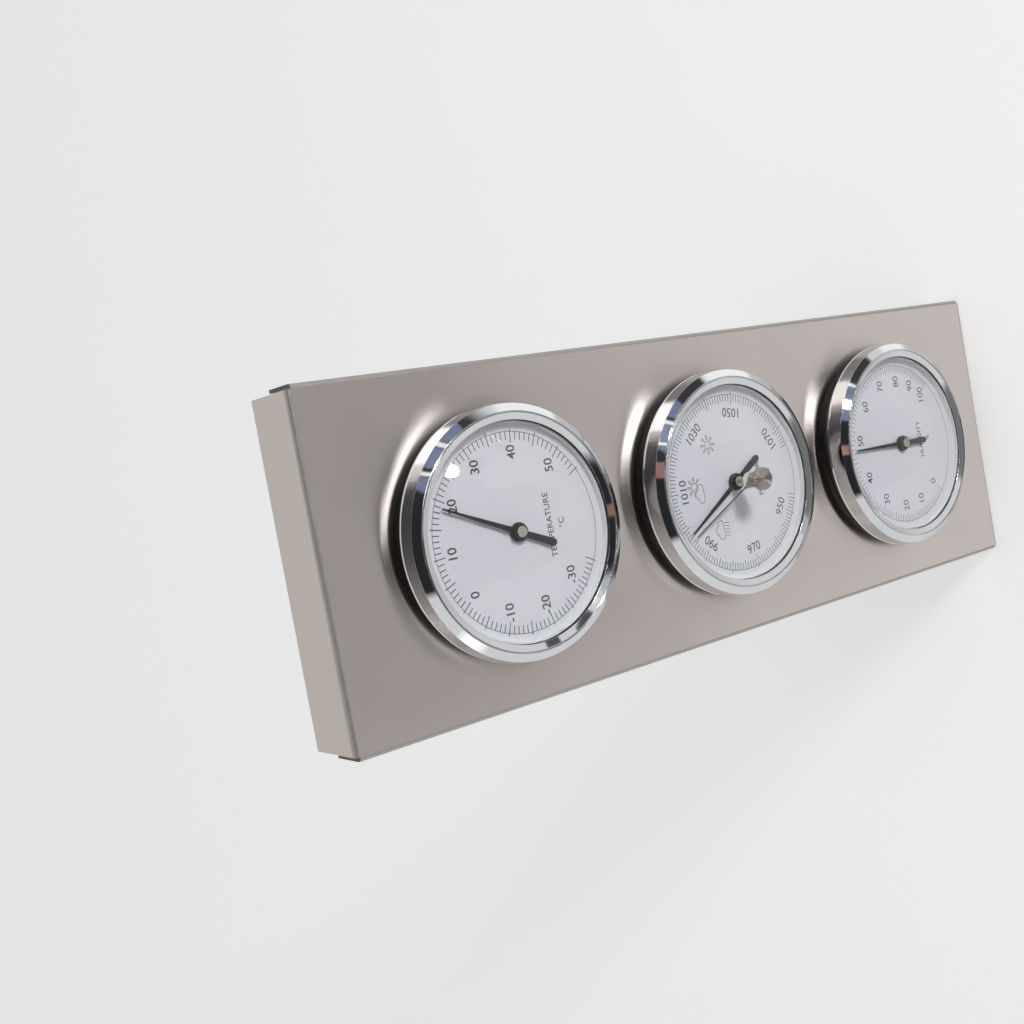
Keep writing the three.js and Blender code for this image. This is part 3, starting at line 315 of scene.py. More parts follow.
def variation_group():
    """Soft patches and fine grain over a surface, shared by every finish."""
    group = bpy.data.node_groups.new("patches_and_grain", "ShaderNodeTree")
    sockets = group.interface
    for name, kind in (("Colour", "NodeSocketColor"), ("Patch Colour", "NodeSocketColor"),
                       ("Patches per Metre", "NodeSocketFloat"), ("Smoothest", "NodeSocketFloat"),
                       ("Roughest", "NodeSocketFloat"), ("Grain per Metre", "NodeSocketVector")):
        sockets.new_socket(name, in_out="INPUT", socket_type=kind)
    for name, kind in (("Colour", "NodeSocketColor"), ("Roughness", "NodeSocketFloat"),
                       ("Height", "NodeSocketFloat")):
        sockets.new_socket(name, in_out="OUTPUT", socket_type=kind)
    nodes = group.nodes
    links = group.links
    given = nodes.new("NodeGroupInput")
    result = nodes.new("NodeGroupOutput")
    place = nodes.new("ShaderNodeTexCoord")
    patches = nodes.new("ShaderNodeTexNoise")
    patches.inputs["Detail"].default_value = 3.0
    links.new(place.outputs["Object"], patches.inputs["Vector"])
    links.new(given.outputs["Patches per Metre"], patches.inputs["Scale"])
    spread = nodes.new("ShaderNodeMapRange")
    spread.inputs["From Min"].default_value = 0.32
    spread.inputs["From Max"].default_value = 0.68
    links.new(patches.outputs["Fac"], spread.inputs["Value"])
    tint = nodes.new("ShaderNodeMix")
    tint.data_type = "RGBA"
    links.new(spread.outputs["Result"], tint.inputs["Factor"])
    links.new(given.outputs["Colour"], tint.inputs[6])
    links.new(given.outputs["Patch Colour"], tint.inputs[7])
    stretch = nodes.new("ShaderNodeVectorMath")
    stretch.operation = "MULTIPLY"
    links.new(place.outputs["Object"], stretch.inputs[0])
    links.new(given.outputs["Grain per Metre"], stretch.inputs[1])
    grain = nodes.new("ShaderNodeTexNoise")
    grain.inputs["Scale"].default_value = 1.0
    grain.inputs["Detail"].default_value = 2.0
    links.new(stretch.outputs[0], grain.inputs["Vector"])
    blend = nodes.new("ShaderNodeMix")
    blend.inputs["Factor"].default_value = 0.5
    links.new(spread.outputs["Result"], blend.inputs[2])
    links.new(grain.outputs["Fac"], blend.inputs[3])
    gloss = nodes.new("ShaderNodeMapRange")
    links.new(blend.outputs[0], gloss.inputs["Value"])
    links.new(given.outputs["Smoothest"], gloss.inputs["To Min"])
    links.new(given.outputs["Roughest"], gloss.inputs["To Max"])
    links.new(tint.outputs[2], result.inputs["Colour"])
    links.new(gloss.outputs["Result"], result.inputs["Roughness"])
    links.new(grain.outputs["Fac"], result.inputs["Height"])
    return group


patches_and_grain = variation_group()


def finish(name, colour, patch_colour, patches, roughness, grain, depth, **sockets):
    """A finish whose colour, gloss and relief vary by its patches and grain, counted per metre."""
    paint = bpy.data.materials.new(name)
    paint.use_nodes = True
    nodes = paint.node_tree.nodes
    links = paint.node_tree.links
    shader = nodes["Principled BSDF"]
    for socket, value in sockets.items():
        shader.inputs[socket.replace("_", " ").title().replace("Ior", "IOR")].default_value = value
    varied = nodes.new("ShaderNodeGroup")
    varied.node_tree = patches_and_grain
    varied.inputs["Colour"].default_value = (*colour, 1.0)
    varied.inputs["Patch Colour"].default_value = (*patch_colour, 1.0)
    varied.inputs["Patches per Metre"].default_value = patches
    varied.inputs["Smoothest"].default_value = roughness[0]
    varied.inputs["Roughest"].default_value = roughness[1]
    varied.inputs["Grain per Metre"].default_value = grain if isinstance(grain, tuple) else (grain,) * 3
    relief = nodes.new("ShaderNodeBump")
    relief.inputs["Distance"].default_value = depth
    links.new(varied.outputs["Colour"], shader.inputs["Base Color"])
    links.new(varied.outputs["Roughness"], shader.inputs["Roughness"])
    links.new(varied.outputs["Height"], relief.inputs["Height"])
    links.new(relief.outputs["Normal"], shader.inputs["Normal"])
    return paint


def deburred_copy(node, name, width):
    """A copy of a node's mesh, welded at its corners, with its sharp edges broken."""
    shape = bmesh.new()
    shape.from_mesh(frame["nodes"][node].data)
    bmesh.ops.remove_doubles(shape, verts=shape.verts, dist=WELD)
    bmesh.ops.dissolve_degenerate(shape, edges=shape.edges, dist=WELD)
    sharp = [edge for edge in shape.edges if edge.is_manifold and edge.calc_face_angle() > CREASE]
    bmesh.ops.bevel(shape, geom=sharp, offset=width, segments=2, profile=0.5, affect="EDGES",
                    clamp_overlap=True, material=1)
    return object_from(shape, name)


def fit(piece, body, slot, paint, *nodes):
    """Puts a piece on its body in its finish, in place of the nodes that it stands for."""
    if piece.name not in scene.collection.objects:
        scene.collection.objects.link(piece)
    if not piece.data.materials:
        piece.data.materials.append(paint)
    piece.data.shade_smooth()
    piece.data.set_sharp_from_angle(angle=CREASE)
    shading = piece.modifiers.new("even_shading", "WEIGHTED_NORMAL")
    shading.keep_sharp = True
    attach(piece, body)
    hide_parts(*nodes)
    return piece


satin_steel = finish("satin_stainless_steel", (0.655, 0.597, 0.563), (0.685, 0.627, 0.593), 22.0,
                     (0.24, 0.28), (5000.0, 5000.0, 40.0), 0.0004 * MM,
                     metallic=1.0, anisotropic=1.0)
sheared_steel = finish("sheared_steel_edge", (0.66, 0.65, 0.63), (0.74, 0.73, 0.71), 600.0,
                       (0.2, 0.32), 3000.0, 0.004 * MM, metallic=1.0)
# The folds' darker colour is painted shade that dims their highlight; only their roughness is their own.
painted_shade_fold_steel = finish("fold_steel_painted_shade", (0.42, 0.39, 0.37), (0.46, 0.43, 0.41), 200.0,
                      (0.46, 0.54), (2500.0, 2500.0, 40.0), 0.002 * MM, metallic=1.0)
# The inside's near-black colour is painted shade; only its higher roughness belongs to the steel.
painted_shade_inside_steel = finish("inside_steel_painted_shade", (0.13, 0.125, 0.12), (0.17, 0.165, 0.16), 120.0,
                      (0.5, 0.6), (1800.0, 1800.0, 200.0), 0.003 * MM, metallic=1.0)
grain_direction = satin_steel.node_tree.nodes.new("ShaderNodeTangent")
grain_direction.direction_type = "UV_MAP"
grain_direction.uv_map = "grain"
satin_steel.node_tree.links.new(grain_direction.outputs[0],
                                satin_steel.node_tree.nodes["Principled BSDF"].inputs["Tangent"])

GRAIN_SLANT = 0.02
SHEET = 1.0 * MM
FLANGE_FROM = 40.0 * MM
FOLDED = 2
INSIDE = 3
FACING = 0.5
SQUARE_ON = 0.9
SLOPING = 0.06
panel = deburred_copy("panel_tray", "panel_sheet", DEBURR)
grain_map = panel.data.uv_layers.new(name="grain")
for loop in panel.data.loops:
    corner = panel.data.vertices[loop.vertex_index].co
    grain_map.data[loop.index].uv = (corner.x + GRAIN_SLANT * corner.y, corner.z - corner.y)
for steel in (satin_steel, sheared_steel, painted_shade_fold_steel, painted_shade_inside_steel):
    panel.data.materials.append(steel)
side_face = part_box("panel_tray")[1].x
# Faces inside the tray and faces on the folds get the finishes with painted shade.
for face in panel.data.polygons:
    if face.material_index:
        continue
    facing = face.normal
    off_middle = abs(face.center.x)
    beyond = face.center.z - MIDDLE.z
    inside = facing.y > FACING or facing.z * beyond < -FACING * abs(beyond)
    if off_middle > FLANGE_FROM:
        inside = inside or facing.x * face.center.x < -FACING * off_middle
        inside = inside or abs(facing.x) > SQUARE_ON and off_middle < side_face - 1.2 * SHEET
        inside = inside or abs(facing.z) > SQUARE_ON and off_middle > side_face - SHEET
    if inside:
        face.material_index = INSIDE
    elif facing.y < 0 and sum(abs(part) > SLOPING for part in facing) > 1:
        face.material_index = FOLDED
fit(panel, "station", "satin_steel", satin_steel, "panel_tray")

# The hanger
# A zinc-plated steel plate with a keyhole, bent over at the top and spot welded inside the top
# flange, so that the station hangs flat on a screw in the wall.
zinc_steel = finish("zinc_plated_steel", (0.50, 0.51, 0.53), (0.60, 0.61, 0.62), 180.0,
                    (0.3, 0.46), 1400.0, 0.003 * MM, metallic=1.0)
hanger = deburred_copy("hanger_plate", "hanger_with_keyhole", DEBURR)
fit(hanger, "station", "zinc_steel", zinc_steel, "hanger_plate")

# The cases
# Deep cups of moulded black plastic, with a flange that rests on the panel and a rim for the bezel.
# The floor is stepped at its edge, with round vents and a collared hole for the adjuster.
INSTRUMENTS = ("thermometer", "barometer", "hygrometer")
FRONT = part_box("panel_tray")[0].y
CENTRES = {name: (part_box(f"{name}_bezel")[0].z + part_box(f"{name}_bezel")[1].z) / 2 for name in INSTRUMENTS}
CASE_WALL = 1.3 * MM
BARREL_RADIUS = 31.2 * MM
FLANGE_RADIUS = 34.6 * MM
FLANGE_TOP = 2.9 * MM
RIM_RADIUS = 35.2 * MM
RIM_TOP = 5.2 * MM
CASE_REAR = -17.5 * MM
CASE_FLOOR = -16.0 * MM
ADJUSTER_HOLE = {"thermometer": 3.8 * MM, "barometer": 3.3 * MM, "hygrometer": 3.8 * MM}
VENT_RADIUS = 1.75 * MM
VENT_CIRCLE = 22.0 * MM
VENT_TURNS = {"thermometer": (30, 120, 210, 300), "barometer": (30,), "hygrometer": (30, 120, 210, 300)}
HOLE_COLLAR = 1.9 * MM
COLLAR_RISE = 0.5 * MM
STEP_RADIUS = 27.5 * MM
STEP_DROP = 0.4 * MM
CASE_EASE = 0.35 * MM
OVERCUT = 1.0 * MM
ON_AXIS = 1e-9
STRAIGHT = math.radians(85)
MOST_OF_A_SIDE = 0.48


def on_dial(name, across, up, height):
    """A point in the part's frame, from an instrument's centre and its height off the panel."""
    return Vector((across, FRONT - height, CENTRES[name] + up))


def eased(outline, radius, steps=3):
    """The closed outline with its corners rounded, by less where a side is short."""
    points = []
    for index, corner in enumerate(outline):
        corner = Vector(corner)
        back = Vector(outline[index - 1]) - corner
        ahead = Vector(outline[(index + 1) % len(outline)]) - corner
        half = back.angle(ahead) / 2
        if corner.x < ON_AXIS or half > STRAIGHT:
            points.append(corner)
            continue
        shorter = min(back.length, ahead.length)
        reach = min(radius / math.tan(half), shorter * MOST_OF_A_SIDE)
        start = corner + back.normalized() * reach
        end = corner + ahead.normalized() * reach
        for step in range(steps + 1):
            share = step / steps
            points.append(start.lerp(corner, share).lerp(corner.lerp(end, share), share))
    return points


def turned(piece_name, name, outline, steps=128):
    """A piece turned about an instrument's axis, from a closed outline of radius and height."""
    shape = bmesh.new()
    rings = []
    for radius, height in outline:
        count = steps if radius > ON_AXIS else 1
        turns = [2 * math.pi * step / steps for step in range(count)]
        rings.append([shape.verts.new(on_dial(name, radius * math.sin(turn), radius * math.cos(turn), height))
                      for turn in turns])
    for ring, following in zip(rings, rings[1:] + rings[:1]):
        for step in range(steps):
            after = step + 1
            corners = (ring[step % len(ring)], ring[after % len(ring)],
                       following[after % len(following)], following[step % len(following)])
            corners = tuple(dict.fromkeys(corners))
            if len(corners) > 2:
                shape.faces.new(corners)
    bmesh.ops.recalc_face_normals(shape, faces=shape.faces)
    return object_from(shape, piece_name)


def combined(piece, tools, operation):
    """One closed mesh from a piece with the tools joined to it or cut out of it."""
    for thing in (piece, *tools):
        scene.collection.objects.link(thing)
    for tool in tools:
        step = piece.modifiers.new(tool.name, "BOOLEAN")
        step.operation = operation
        step.solver = "EXACT"
        step.object = tool
    depsgraph = bpy.context.evaluated_depsgraph_get()
    mesh = bpy.data.meshes.new_from_object(piece.evaluated_get(depsgraph))
    mesh.name = piece.name
    piece.modifiers.clear()
    piece.data = mesh
    for tool in tools:
        bpy.data.objects.remove(tool)
    return piece


def pin(piece_name, name, across, up, radius, bottom, top, steps=28):
    """A short round bar that stands square to a dial, away from its centre."""
    bar = turned(piece_name, name, [(0, bottom), (radius, bottom), (radius, top), (0, top)], steps)
    bar.data.transform(Matrix.Translation((across, 0, up)))
    return bar


black_case = finish("moulded_black_plastic", (0.011, 0.011, 0.012), (0.017, 0.017, 0.018), 90.0,
                    (0.3, 0.42), 2600.0, 0.004 * MM, coat_weight=0.15)
for name in INSTRUMENTS:
    hole = ADJUSTER_HOLE[name]
    collar = hole + HOLE_COLLAR
    outline = [(hole, CASE_REAR - COLLAR_RISE), (collar, CASE_REAR - COLLAR_RISE), (collar, CASE_REAR),
               (STEP_RADIUS, CASE_REAR), (STEP_RADIUS + STEP_DROP, CASE_REAR + STEP_DROP),
               (BARREL_RADIUS, CASE_REAR + STEP_DROP), (BARREL_RADIUS, 0), (FLANGE_RADIUS, 0),
               (FLANGE_RADIUS, FLANGE_TOP), (RIM_RADIUS, FLANGE_TOP), (RIM_RADIUS, RIM_TOP),
               (BARREL_RADIUS - CASE_WALL, RIM_TOP), (BARREL_RADIUS - CASE_WALL, CASE_FLOOR),
               (hole, CASE_FLOOR)]
    vents = []
    for index, turn in enumerate(VENT_TURNS[name]):
        angle = math.radians(turn)
        vents.append(pin(f"vent_{index}", name, VENT_CIRCLE * math.sin(angle), VENT_CIRCLE * math.cos(angle),
                         VENT_RADIUS, CASE_REAR - OVERCUT, CASE_FLOOR + OVERCUT))
    shell = turned(f"{name}_case_shell", name, eased(outline, CASE_EASE))
    fit(combined(shell, vents, "DIFFERENCE"), "station", "black_case", black_case, f"{name}_case")

# The clamp rings
# Moulded black rings pushed over the barrels from behind, which hold the cases to the panel.
# Hollows around their edge give the fingers a grip.
CLAMP_INNER = 31.6 * MM
CLAMP_OUTER = 36.0 * MM
CLAMP_REAR = -4.0 * MM
CLAMP_FRONT = -1.0 * MM
GRIPS = 16
GRIP_RADIUS = 1.3 * MM
GRIP_CIRCLE = CLAMP_OUTER + 0.4 * GRIP_RADIUS
GRIP_WEB = 0.8 * MM
CLAMP_EASE = 0.5 * MM
for name in INSTRUMENTS:
    outline = [(CLAMP_INNER, CLAMP_REAR), (CLAMP_OUTER, CLAMP_REAR), (CLAMP_OUTER, CLAMP_FRONT),
               (CLAMP_INNER, CLAMP_FRONT)]
    ring = turned(f"{name}_clamp", name, eased(outline, CLAMP_EASE))
    grips = []
    for index in range(GRIPS):
        angle = 2 * math.pi * (index + 0.5) / GRIPS
        grips.append(pin(f"grip_{index}", name, GRIP_CIRCLE * math.sin(angle), GRIP_CIRCLE * math.cos(angle),
                         GRIP_RADIUS, CLAMP_REAR - OVERCUT, CLAMP_FRONT - GRIP_WEB))
    fit(combined(ring, grips, "DIFFERENCE"), "station", "black_case", black_case, f"{name}_clamp_ring")

# The movements
# The thermometer and hygrometer turn their pointers with a coil on a post, set from behind by
# a slotted adjuster. The barometer has a capsule, a rocker, a toothed sector and a hairspring.
# They are stamped and turned, pinned or riveted in the cases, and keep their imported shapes.
BROKEN_EDGE = 0.06 * MM
brass = finish("turned_brass", (0.62, 0.45, 0.19), (0.70, 0.53, 0.25), 260.0,
               (0.2, 0.34), 4000.0, 0.003 * MM, metallic=1.0)
bright_steel = finish("bright_turned_steel", (0.60, 0.59, 0.56), (0.68, 0.67, 0.64), 320.0,
                      (0.18, 0.3), 5000.0, 0.002 * MM, metallic=1.0)
bimetal = finish("two_metal_strip", (0.52, 0.43, 0.33), (0.60, 0.52, 0.44), 240.0,
                 (0.24, 0.38), (6000.0, 600.0, 6000.0), 0.002 * MM, metallic=1.0)
humidity_strip = finish("coated_metal_strip", (0.42, 0.34, 0.23), (0.50, 0.42, 0.30), 420.0,
                        (0.4, 0.55), 2500.0, 0.004 * MM, coat_weight=0.3)
capsule_metal = finish("nickel_silver_sheet", (0.60, 0.56, 0.48), (0.67, 0.63, 0.55), 150.0,
                       (0.22, 0.36), 3000.0, 0.003 * MM, metallic=1.0)
MOVEMENT_FINISHES = {"brass": brass, "bright_steel": bright_steel, "bimetal": bimetal,
                     "humidity_strip": humidity_strip, "capsule_metal": capsule_metal}


def carry(node, paint):
    """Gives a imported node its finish, broken edges and even shading, without touching its mesh."""
    part = frame["nodes"][node]
    weld = part.modifiers.new("one_skin", "WELD")
    weld.merge_threshold = WELD
    edge = part.modifiers.new("broken_edges", "BEVEL")
    edge.limit_method = "ANGLE"
    edge.angle_limit = CREASE
    edge.width = BROKEN_EDGE
    edge.segments = 2
    part.data.shade_smooth()
    shading = part.modifiers.new("even_shading", "WEIGHTED_NORMAL")
    shading.keep_sharp = True
    part.data.materials.clear()
    part.data.materials.append(paint)


for entry in frame["record"]["subparts"]:
    if entry["material_slot"] in MOVEMENT_FINISHES and entry["node"] != "set_hand":
        carry(entry["node"], MOVEMENT_FINISHES[entry["material_slot"]])

# The dials
# Thin white-coated aluminium discs that rest on the cases' rims. They are printed in dark grey with
# a fine circle and its ticks, plain numbers, and the measured quantity with its unit.
DIAL_RADIUS = 32.9 * MM
DIAL_HOLE = 1.5 * MM
DIAL_BACK = RIM_TOP
DIAL_FACE = 5.7 * MM
DIAL_EASE = 0.08 * MM
INK = 0.02 * MM
INK_FOOT = 0.2
SCALE_CIRCLE = 28.4 * MM
LINE = {"thermometer": 0.29 * MM, "barometer": 0.24 * MM, "hygrometer": 0.17 * MM}
CIRCLE_LINE = 0.17 * MM
CIRCLE_STEPS = 120
MINOR_TICK = 2.3 * MM
FIVE_TICK = 2.9 * MM
MAJOR_TICK = (25.2 * MM, 29.2 * MM)
LONG_EVERY = {"thermometer": 5, "barometer": 10, "hygrometer": 10}
NUMBER_HEIGHT = 2.9 * MM
NUMBER_WEIGHT = {"thermometer": 0.055 * MM, "barometer": 0.025 * MM, "hygrometer": 0.015 * MM}
WORD_WEIGHT = 0.015 * MM
NUMBER_CIRCLE = 22.6 * MM
TURNED_OVER_FROM = 95
CAPITAL_HEIGHT = 0.7
WORD_HEIGHT = 2.0 * MM
WORD_DROP = 11.9 * MM
UNIT_DROP = 16.2 * MM
HUMIDITY_TENS = (-134, -108, -84, -55, -25, 10, 43, 73, 97, 117.5, 135.5)


def thermometer_turn(degrees):
    """Degrees clockwise from the top for a temperature in degrees Celsius."""
    return -38.8 + 3.325 * degrees + 0.0018 * degrees ** 2


def barometer_turn(pressure):
    """Degrees clockwise from the top for an air pressure in hectopascals."""
    return 2.5 * (pressure - 1010)


def hygrometer_turn(percent):
    """Degrees clockwise from the top for a relative humidity in percent."""
    low = min(int(percent // 10), len(HUMIDITY_TENS) - 2)
    share = percent / 10 - low
    return HUMIDITY_TENS[low] * (1 - share) + HUMIDITY_TENS[low + 1] * share


SCALES = {"thermometer": (thermometer_turn, range(-35, 56), "TEMPERATURE", "°C"),
          "barometer": (barometer_turn, range(945, 1076), "PRESSURE", "hPa"),
          "hygrometer": (hygrometer_turn, range(0, 101), "HUMIDITY", "%")}
NUMBERS = {"thermometer": range(-30, 51, 10), "barometer": range(950, 1071, 20),
           "hygrometer": range(0, 101, 10)}


def around(radius, turn):
    """A point on a dial, from its radius and its turn clockwise from the top in degrees."""
    return Vector((radius * math.sin(math.radians(turn)), radius * math.cos(math.radians(turn))))


def ink_line(shape, name, points, width, closed=False):
    """Adds a line of ink along points on a dial, as a thin closed strip with square ends."""
    count = len(points)
    edges = []
    for index, point in enumerate(points):
        behind = points[index - 1] if index or closed else point
        beyond = points[(index + 1) % count] if index < count - 1 or closed else point
        heading = (beyond - behind).normalized()
        side = Vector((-heading.y, heading.x)) * width / 2
        edges.append([shape.verts.new(on_dial(name, *(point + side * way), DIAL_FACE + INK * lift))
                      for way, lift in ((1, INK_FOOT), (1, 1), (-1, 1), (-1, INK_FOOT))])
    pairs = list(zip(edges, edges[1:]))
    if closed:
        pairs.append((edges[-1], edges[0]))
    else:
        shape.faces.new(edges[0])
        shape.faces.new(edges[-1][::-1])
    for near, far in pairs:
        for index in range(4):
            after = (index + 1) % 4
            shape.faces.new((near[index], far[index], far[after], near[after]))


def ink_text(shape, name, text, height, place, turn=0.0, weight=0.0):
    """Adds plain letters to a dial, centred on a place and turned clockwise."""
    curve = bpy.data.curves.new("ink", "FONT")
    curve.body = text
    curve.align_x = "CENTER"
    curve.align_y = "CENTER"
    curve.size = height / CAPITAL_HEIGHT
    curve.extrude = INK * (1 - INK_FOOT) / 2
    curve.offset = weight
    curve.resolution_u = 4
    holder = bpy.data.objects.new("ink", curve)
    scene.collection.objects.link(holder)
    letters = bpy.data.meshes.new_from_object(holder.evaluated_get(bpy.context.evaluated_depsgraph_get()))
    spin = Matrix.Rotation(-math.radians(turn), 4, "Z")
    stand = Matrix.Rotation(math.radians(90), 4, "X")
    middle = on_dial(name, *place, DIAL_FACE + INK * (1 + INK_FOOT) / 2)
    letters.transform(Matrix.Translation(middle) @ stand @ spin)
    shape.from_mesh(letters)
    bpy.data.objects.remove(holder)
    bpy.data.curves.remove(curve)
    bpy.data.meshes.remove(letters)


def printed(shape, piece_name):
    """Closes a print as one mesh, carried with the dial."""
    bmesh.ops.recalc_face_normals(shape, faces=shape.faces)
    fit(object_from(shape, piece_name), "station", "dial_white", dial_ink)


dial_white = finish("white_dial_coating", (0.735, 0.742, 0.805), (0.755, 0.762, 0.82), 60.0,
                    (0.42, 0.55), 3000.0, 0.002 * MM)
dial_ink = finish("dark_grey_ink", (0.035, 0.035, 0.04), (0.06, 0.06, 0.068), 900.0,
                  (0.4, 0.55), 5000.0, 0.001 * MM)
for name in INSTRUMENTS:
    outline = [(DIAL_HOLE, DIAL_BACK), (DIAL_RADIUS, DIAL_BACK), (DIAL_RADIUS, DIAL_FACE),
               (DIAL_HOLE, DIAL_FACE)]
    face = turned(f"{name}_dial_face", name, eased(outline, DIAL_EASE))
    fit(face, "station", "dial_white", dial_white, f"{name}_dial")
    turn_of, values, word, unit = SCALES[name]
    scale = bmesh.new()
    circle = [around(SCALE_CIRCLE, step * 360 / CIRCLE_STEPS) for step in range(CIRCLE_STEPS)]
    ink_line(scale, name, circle, CIRCLE_LINE, closed=True)
    for value in values:
        turn = turn_of(value)
        if value % LONG_EVERY[name] == 0:
            ends = MAJOR_TICK
        elif value % 5 == 0:
            ends = (SCALE_CIRCLE - FIVE_TICK, SCALE_CIRCLE)
        else:
            ends = (SCALE_CIRCLE - MINOR_TICK, SCALE_CIRCLE)
        ink_line(scale, name, [around(radius, turn) for radius in ends], LINE[name])
    printed(scale, f"{name}_scale_marks")
    numbers = bmesh.new()
    for value in NUMBERS[name]:
        turn = turn_of(value)
        lean = 0.0
        if name == "barometer":
            lean = turn if abs(turn) < TURNED_OVER_FROM else turn - 180
        ink_text(numbers, name, str(value), NUMBER_HEIGHT, around(NUMBER_CIRCLE, turn), lean,
                 NUMBER_WEIGHT[name])
    for line, drop in ((word, WORD_DROP), (unit, UNIT_DROP)):
        ink_text(numbers, name, line, WORD_HEIGHT, Vector((0, -drop)), weight=WORD_WEIGHT)
    printed(numbers, f"{name}_numbers")

# The weather signs
# A sun, a sun behind a cloud, and a cloud with rain, beside the high, middle and low pressures.
# They are fine outlines, printed on the barometer's dial in the same ink as its numbers.
SIGN_LINE = 0.2 * MM
SUN_RADIUS = 1.2 * MM
SUN_STEPS = 48
SUN_RAYS = 8
RAY_REACH = (1.95 * MM, 2.8 * MM)
RAY_HALF = 0.27 * MM
RAY_END_STEPS = 6
CLOUD_BUMPS = ((-1.75, 0.0, 1.3, -180, 20), (-0.2, 0.75, 1.65, -75, 65), (1.85, 0.0, 1.2, -15, 180))
BUMP_STEPS = 8
DROPS = 5
DROP_SPACE = Vector((1.0, 0.0)) * MM
DROP_FALL = Vector((-0.4, -1.9)) * MM
FAIR_SUN = Vector((13.4, 9.1)) * MM
CHANGE_SUN = Vector((1.2, 17.9)) * MM
CHANGE_CLOUD = Vector((-1.3, 15.4)) * MM
RAIN_CLOUD = Vector((-14.1, 9.2)) * MM
FIRST_DROP = Vector((-16.0, 7.4)) * MM


def cloud(shape, place):
    """A flat-bottomed cloud of three bumps, given back as the circles that hide what is behind it."""
    outline = []
    circles = []
    for across, up, radius, start, end in CLOUD_BUMPS:
        middle = place + Vector((across, up)) * MM
        circles.append((middle, radius * MM))
        for step in range(BUMP_STEPS + 1):
            turn = start + (end - start) * step / BUMP_STEPS
            outline.append(middle + around(radius * MM, turn))
    ink_line(shape, "barometer", outline, SIGN_LINE, closed=True)
    return circles


def sun(shape, place, hidden=()):
    """A circle with hollow, round-ended rays, left out where circles hide them."""
    shapes = [[place + around(SUN_RADIUS, step * 360 / SUN_STEPS) for step in range(SUN_STEPS)]]
    for index in range(SUN_RAYS):
        heading = index * 360 / SUN_RAYS
        ray = []
        for radius, first in ((RAY_REACH[0], 90), (RAY_REACH[1], 270)):
            middle = place + around(radius, heading)
            for step in range(RAY_END_STEPS + 1):
                turn = heading + first + step * 180 / RAY_END_STEPS
                ray.append(middle + around(RAY_HALF, turn))
        shapes.append(ray)
    for points in shapes:
        shown = [all((point - middle).length > radius for middle, radius in hidden) for point in points]
        if all(shown):
            ink_line(shape, "barometer", points, SIGN_LINE, closed=True)
        elif any(shown):
            start = next(index for index in range(len(points)) if shown[index] and not shown[index - 1])
            points = points[start:] + points[:start]
            shown = shown[start:] + shown[:start]
            run = points[:(shown + [False]).index(False)]
            if len(run) > 1:
                ink_line(shape, "barometer", run, SIGN_LINE)


signs = bmesh.new()
sun(signs, FAIR_SUN)
sun(signs, CHANGE_SUN, hidden=cloud(signs, CHANGE_CLOUD))
cloud(signs, RAIN_CLOUD)
for index in range(DROPS):
    top = FIRST_DROP + DROP_SPACE * index
    ink_line(signs, "barometer", [top, top + DROP_FALL], SIGN_LINE)
printed(signs, "barometer_weather_signs")

# The inner rings
# White moulded rings that keep the lenses off the dials and hide the gap at their edge.
# Under the lip of the bezel, the outer edge of each ring's top is painted near black as painted shade.
RING_INNER = 30.9 * MM
RING_TOP = 7.4 * MM
RING_EASE = 0.2 * MM
PAINTED_SHADE_FROM = 31.4 * MM
ring_white = finish("white_moulded_ring", (0.80, 0.80, 0.815), (0.84, 0.84, 0.85), 120.0,
                    (0.35, 0.5), 2200.0, 0.003 * MM)
# A near-black finish, used as painted shade under the bezel's lip.
painted_shade_under_lip = finish("ring_painted_shade_under_lip", (0.012, 0.012, 0.013), (0.02, 0.02, 0.021), 400.0,
                      (0.4, 0.55), 2000.0, 0.004 * MM)
for name in INSTRUMENTS:
    outline = eased([(RING_INNER, DIAL_FACE), (DIAL_RADIUS, DIAL_FACE), (DIAL_RADIUS, RING_TOP),
                     (RING_INNER, RING_TOP)], RING_EASE)
    after = next(index for index, (radius, height) in enumerate(outline)
                 if radius < PAINTED_SHADE_FROM and height > RING_TOP - INK)
    outline.insert(after, Vector((PAINTED_SHADE_FROM, RING_TOP)))
    ring = turned(f"{name}_inner_ring", name, outline)
    ring.data.materials.append(ring_white)
    ring.data.materials.append(painted_shade_under_lip)
    # Faces at the ring's outer top edge, under the bezel's lip, get the painted shade.
    for face in ring.data.polygons:
        away = math.hypot(face.center.x, face.center.z - CENTRES[name])
        if away > PAINTED_SHADE_FROM and FRONT - face.center.y > RING_TOP - INK:
            face.material_index = 1
    fit(ring, "station", "ring_white", ring_white, f"{name}_spacer_ring")

# The pointers
# Stamped blades painted black, riveted to a turned hub that is pressed on the arbor's end.
# The arbor ends in a small domed head of worn nickel.
HUB_OUTLINE = [(1.0, 6.1), (2.75, 6.1), (2.75, 7.1), (2.3, 7.1), (2.3, 7.9), (1.0, 7.9)]
HUB_EASE = 0.12 * MM
BLADE = (6.6 * MM, 7.1 * MM)
TIP = 26.2 * MM
TIP_HALF = 0.2 * MM
ROOT_HALF = 0.8 * MM
TAIL = 13.3 * MM
TAIL_HALF = 1.1 * MM
TAIL_END_STEPS = 6
HEAD_RADIUS = 1.62 * MM
HEAD_BASE = 7.9 * MM
HEAD_SIDE_TOP = 8.32 * MM
HEAD_TOP = 8.47 * MM
HEAD_EASE = 0.15 * MM
REST_TURN = {"thermometer": 24.0, "barometer": -30.0, "hygrometer": 2.0}


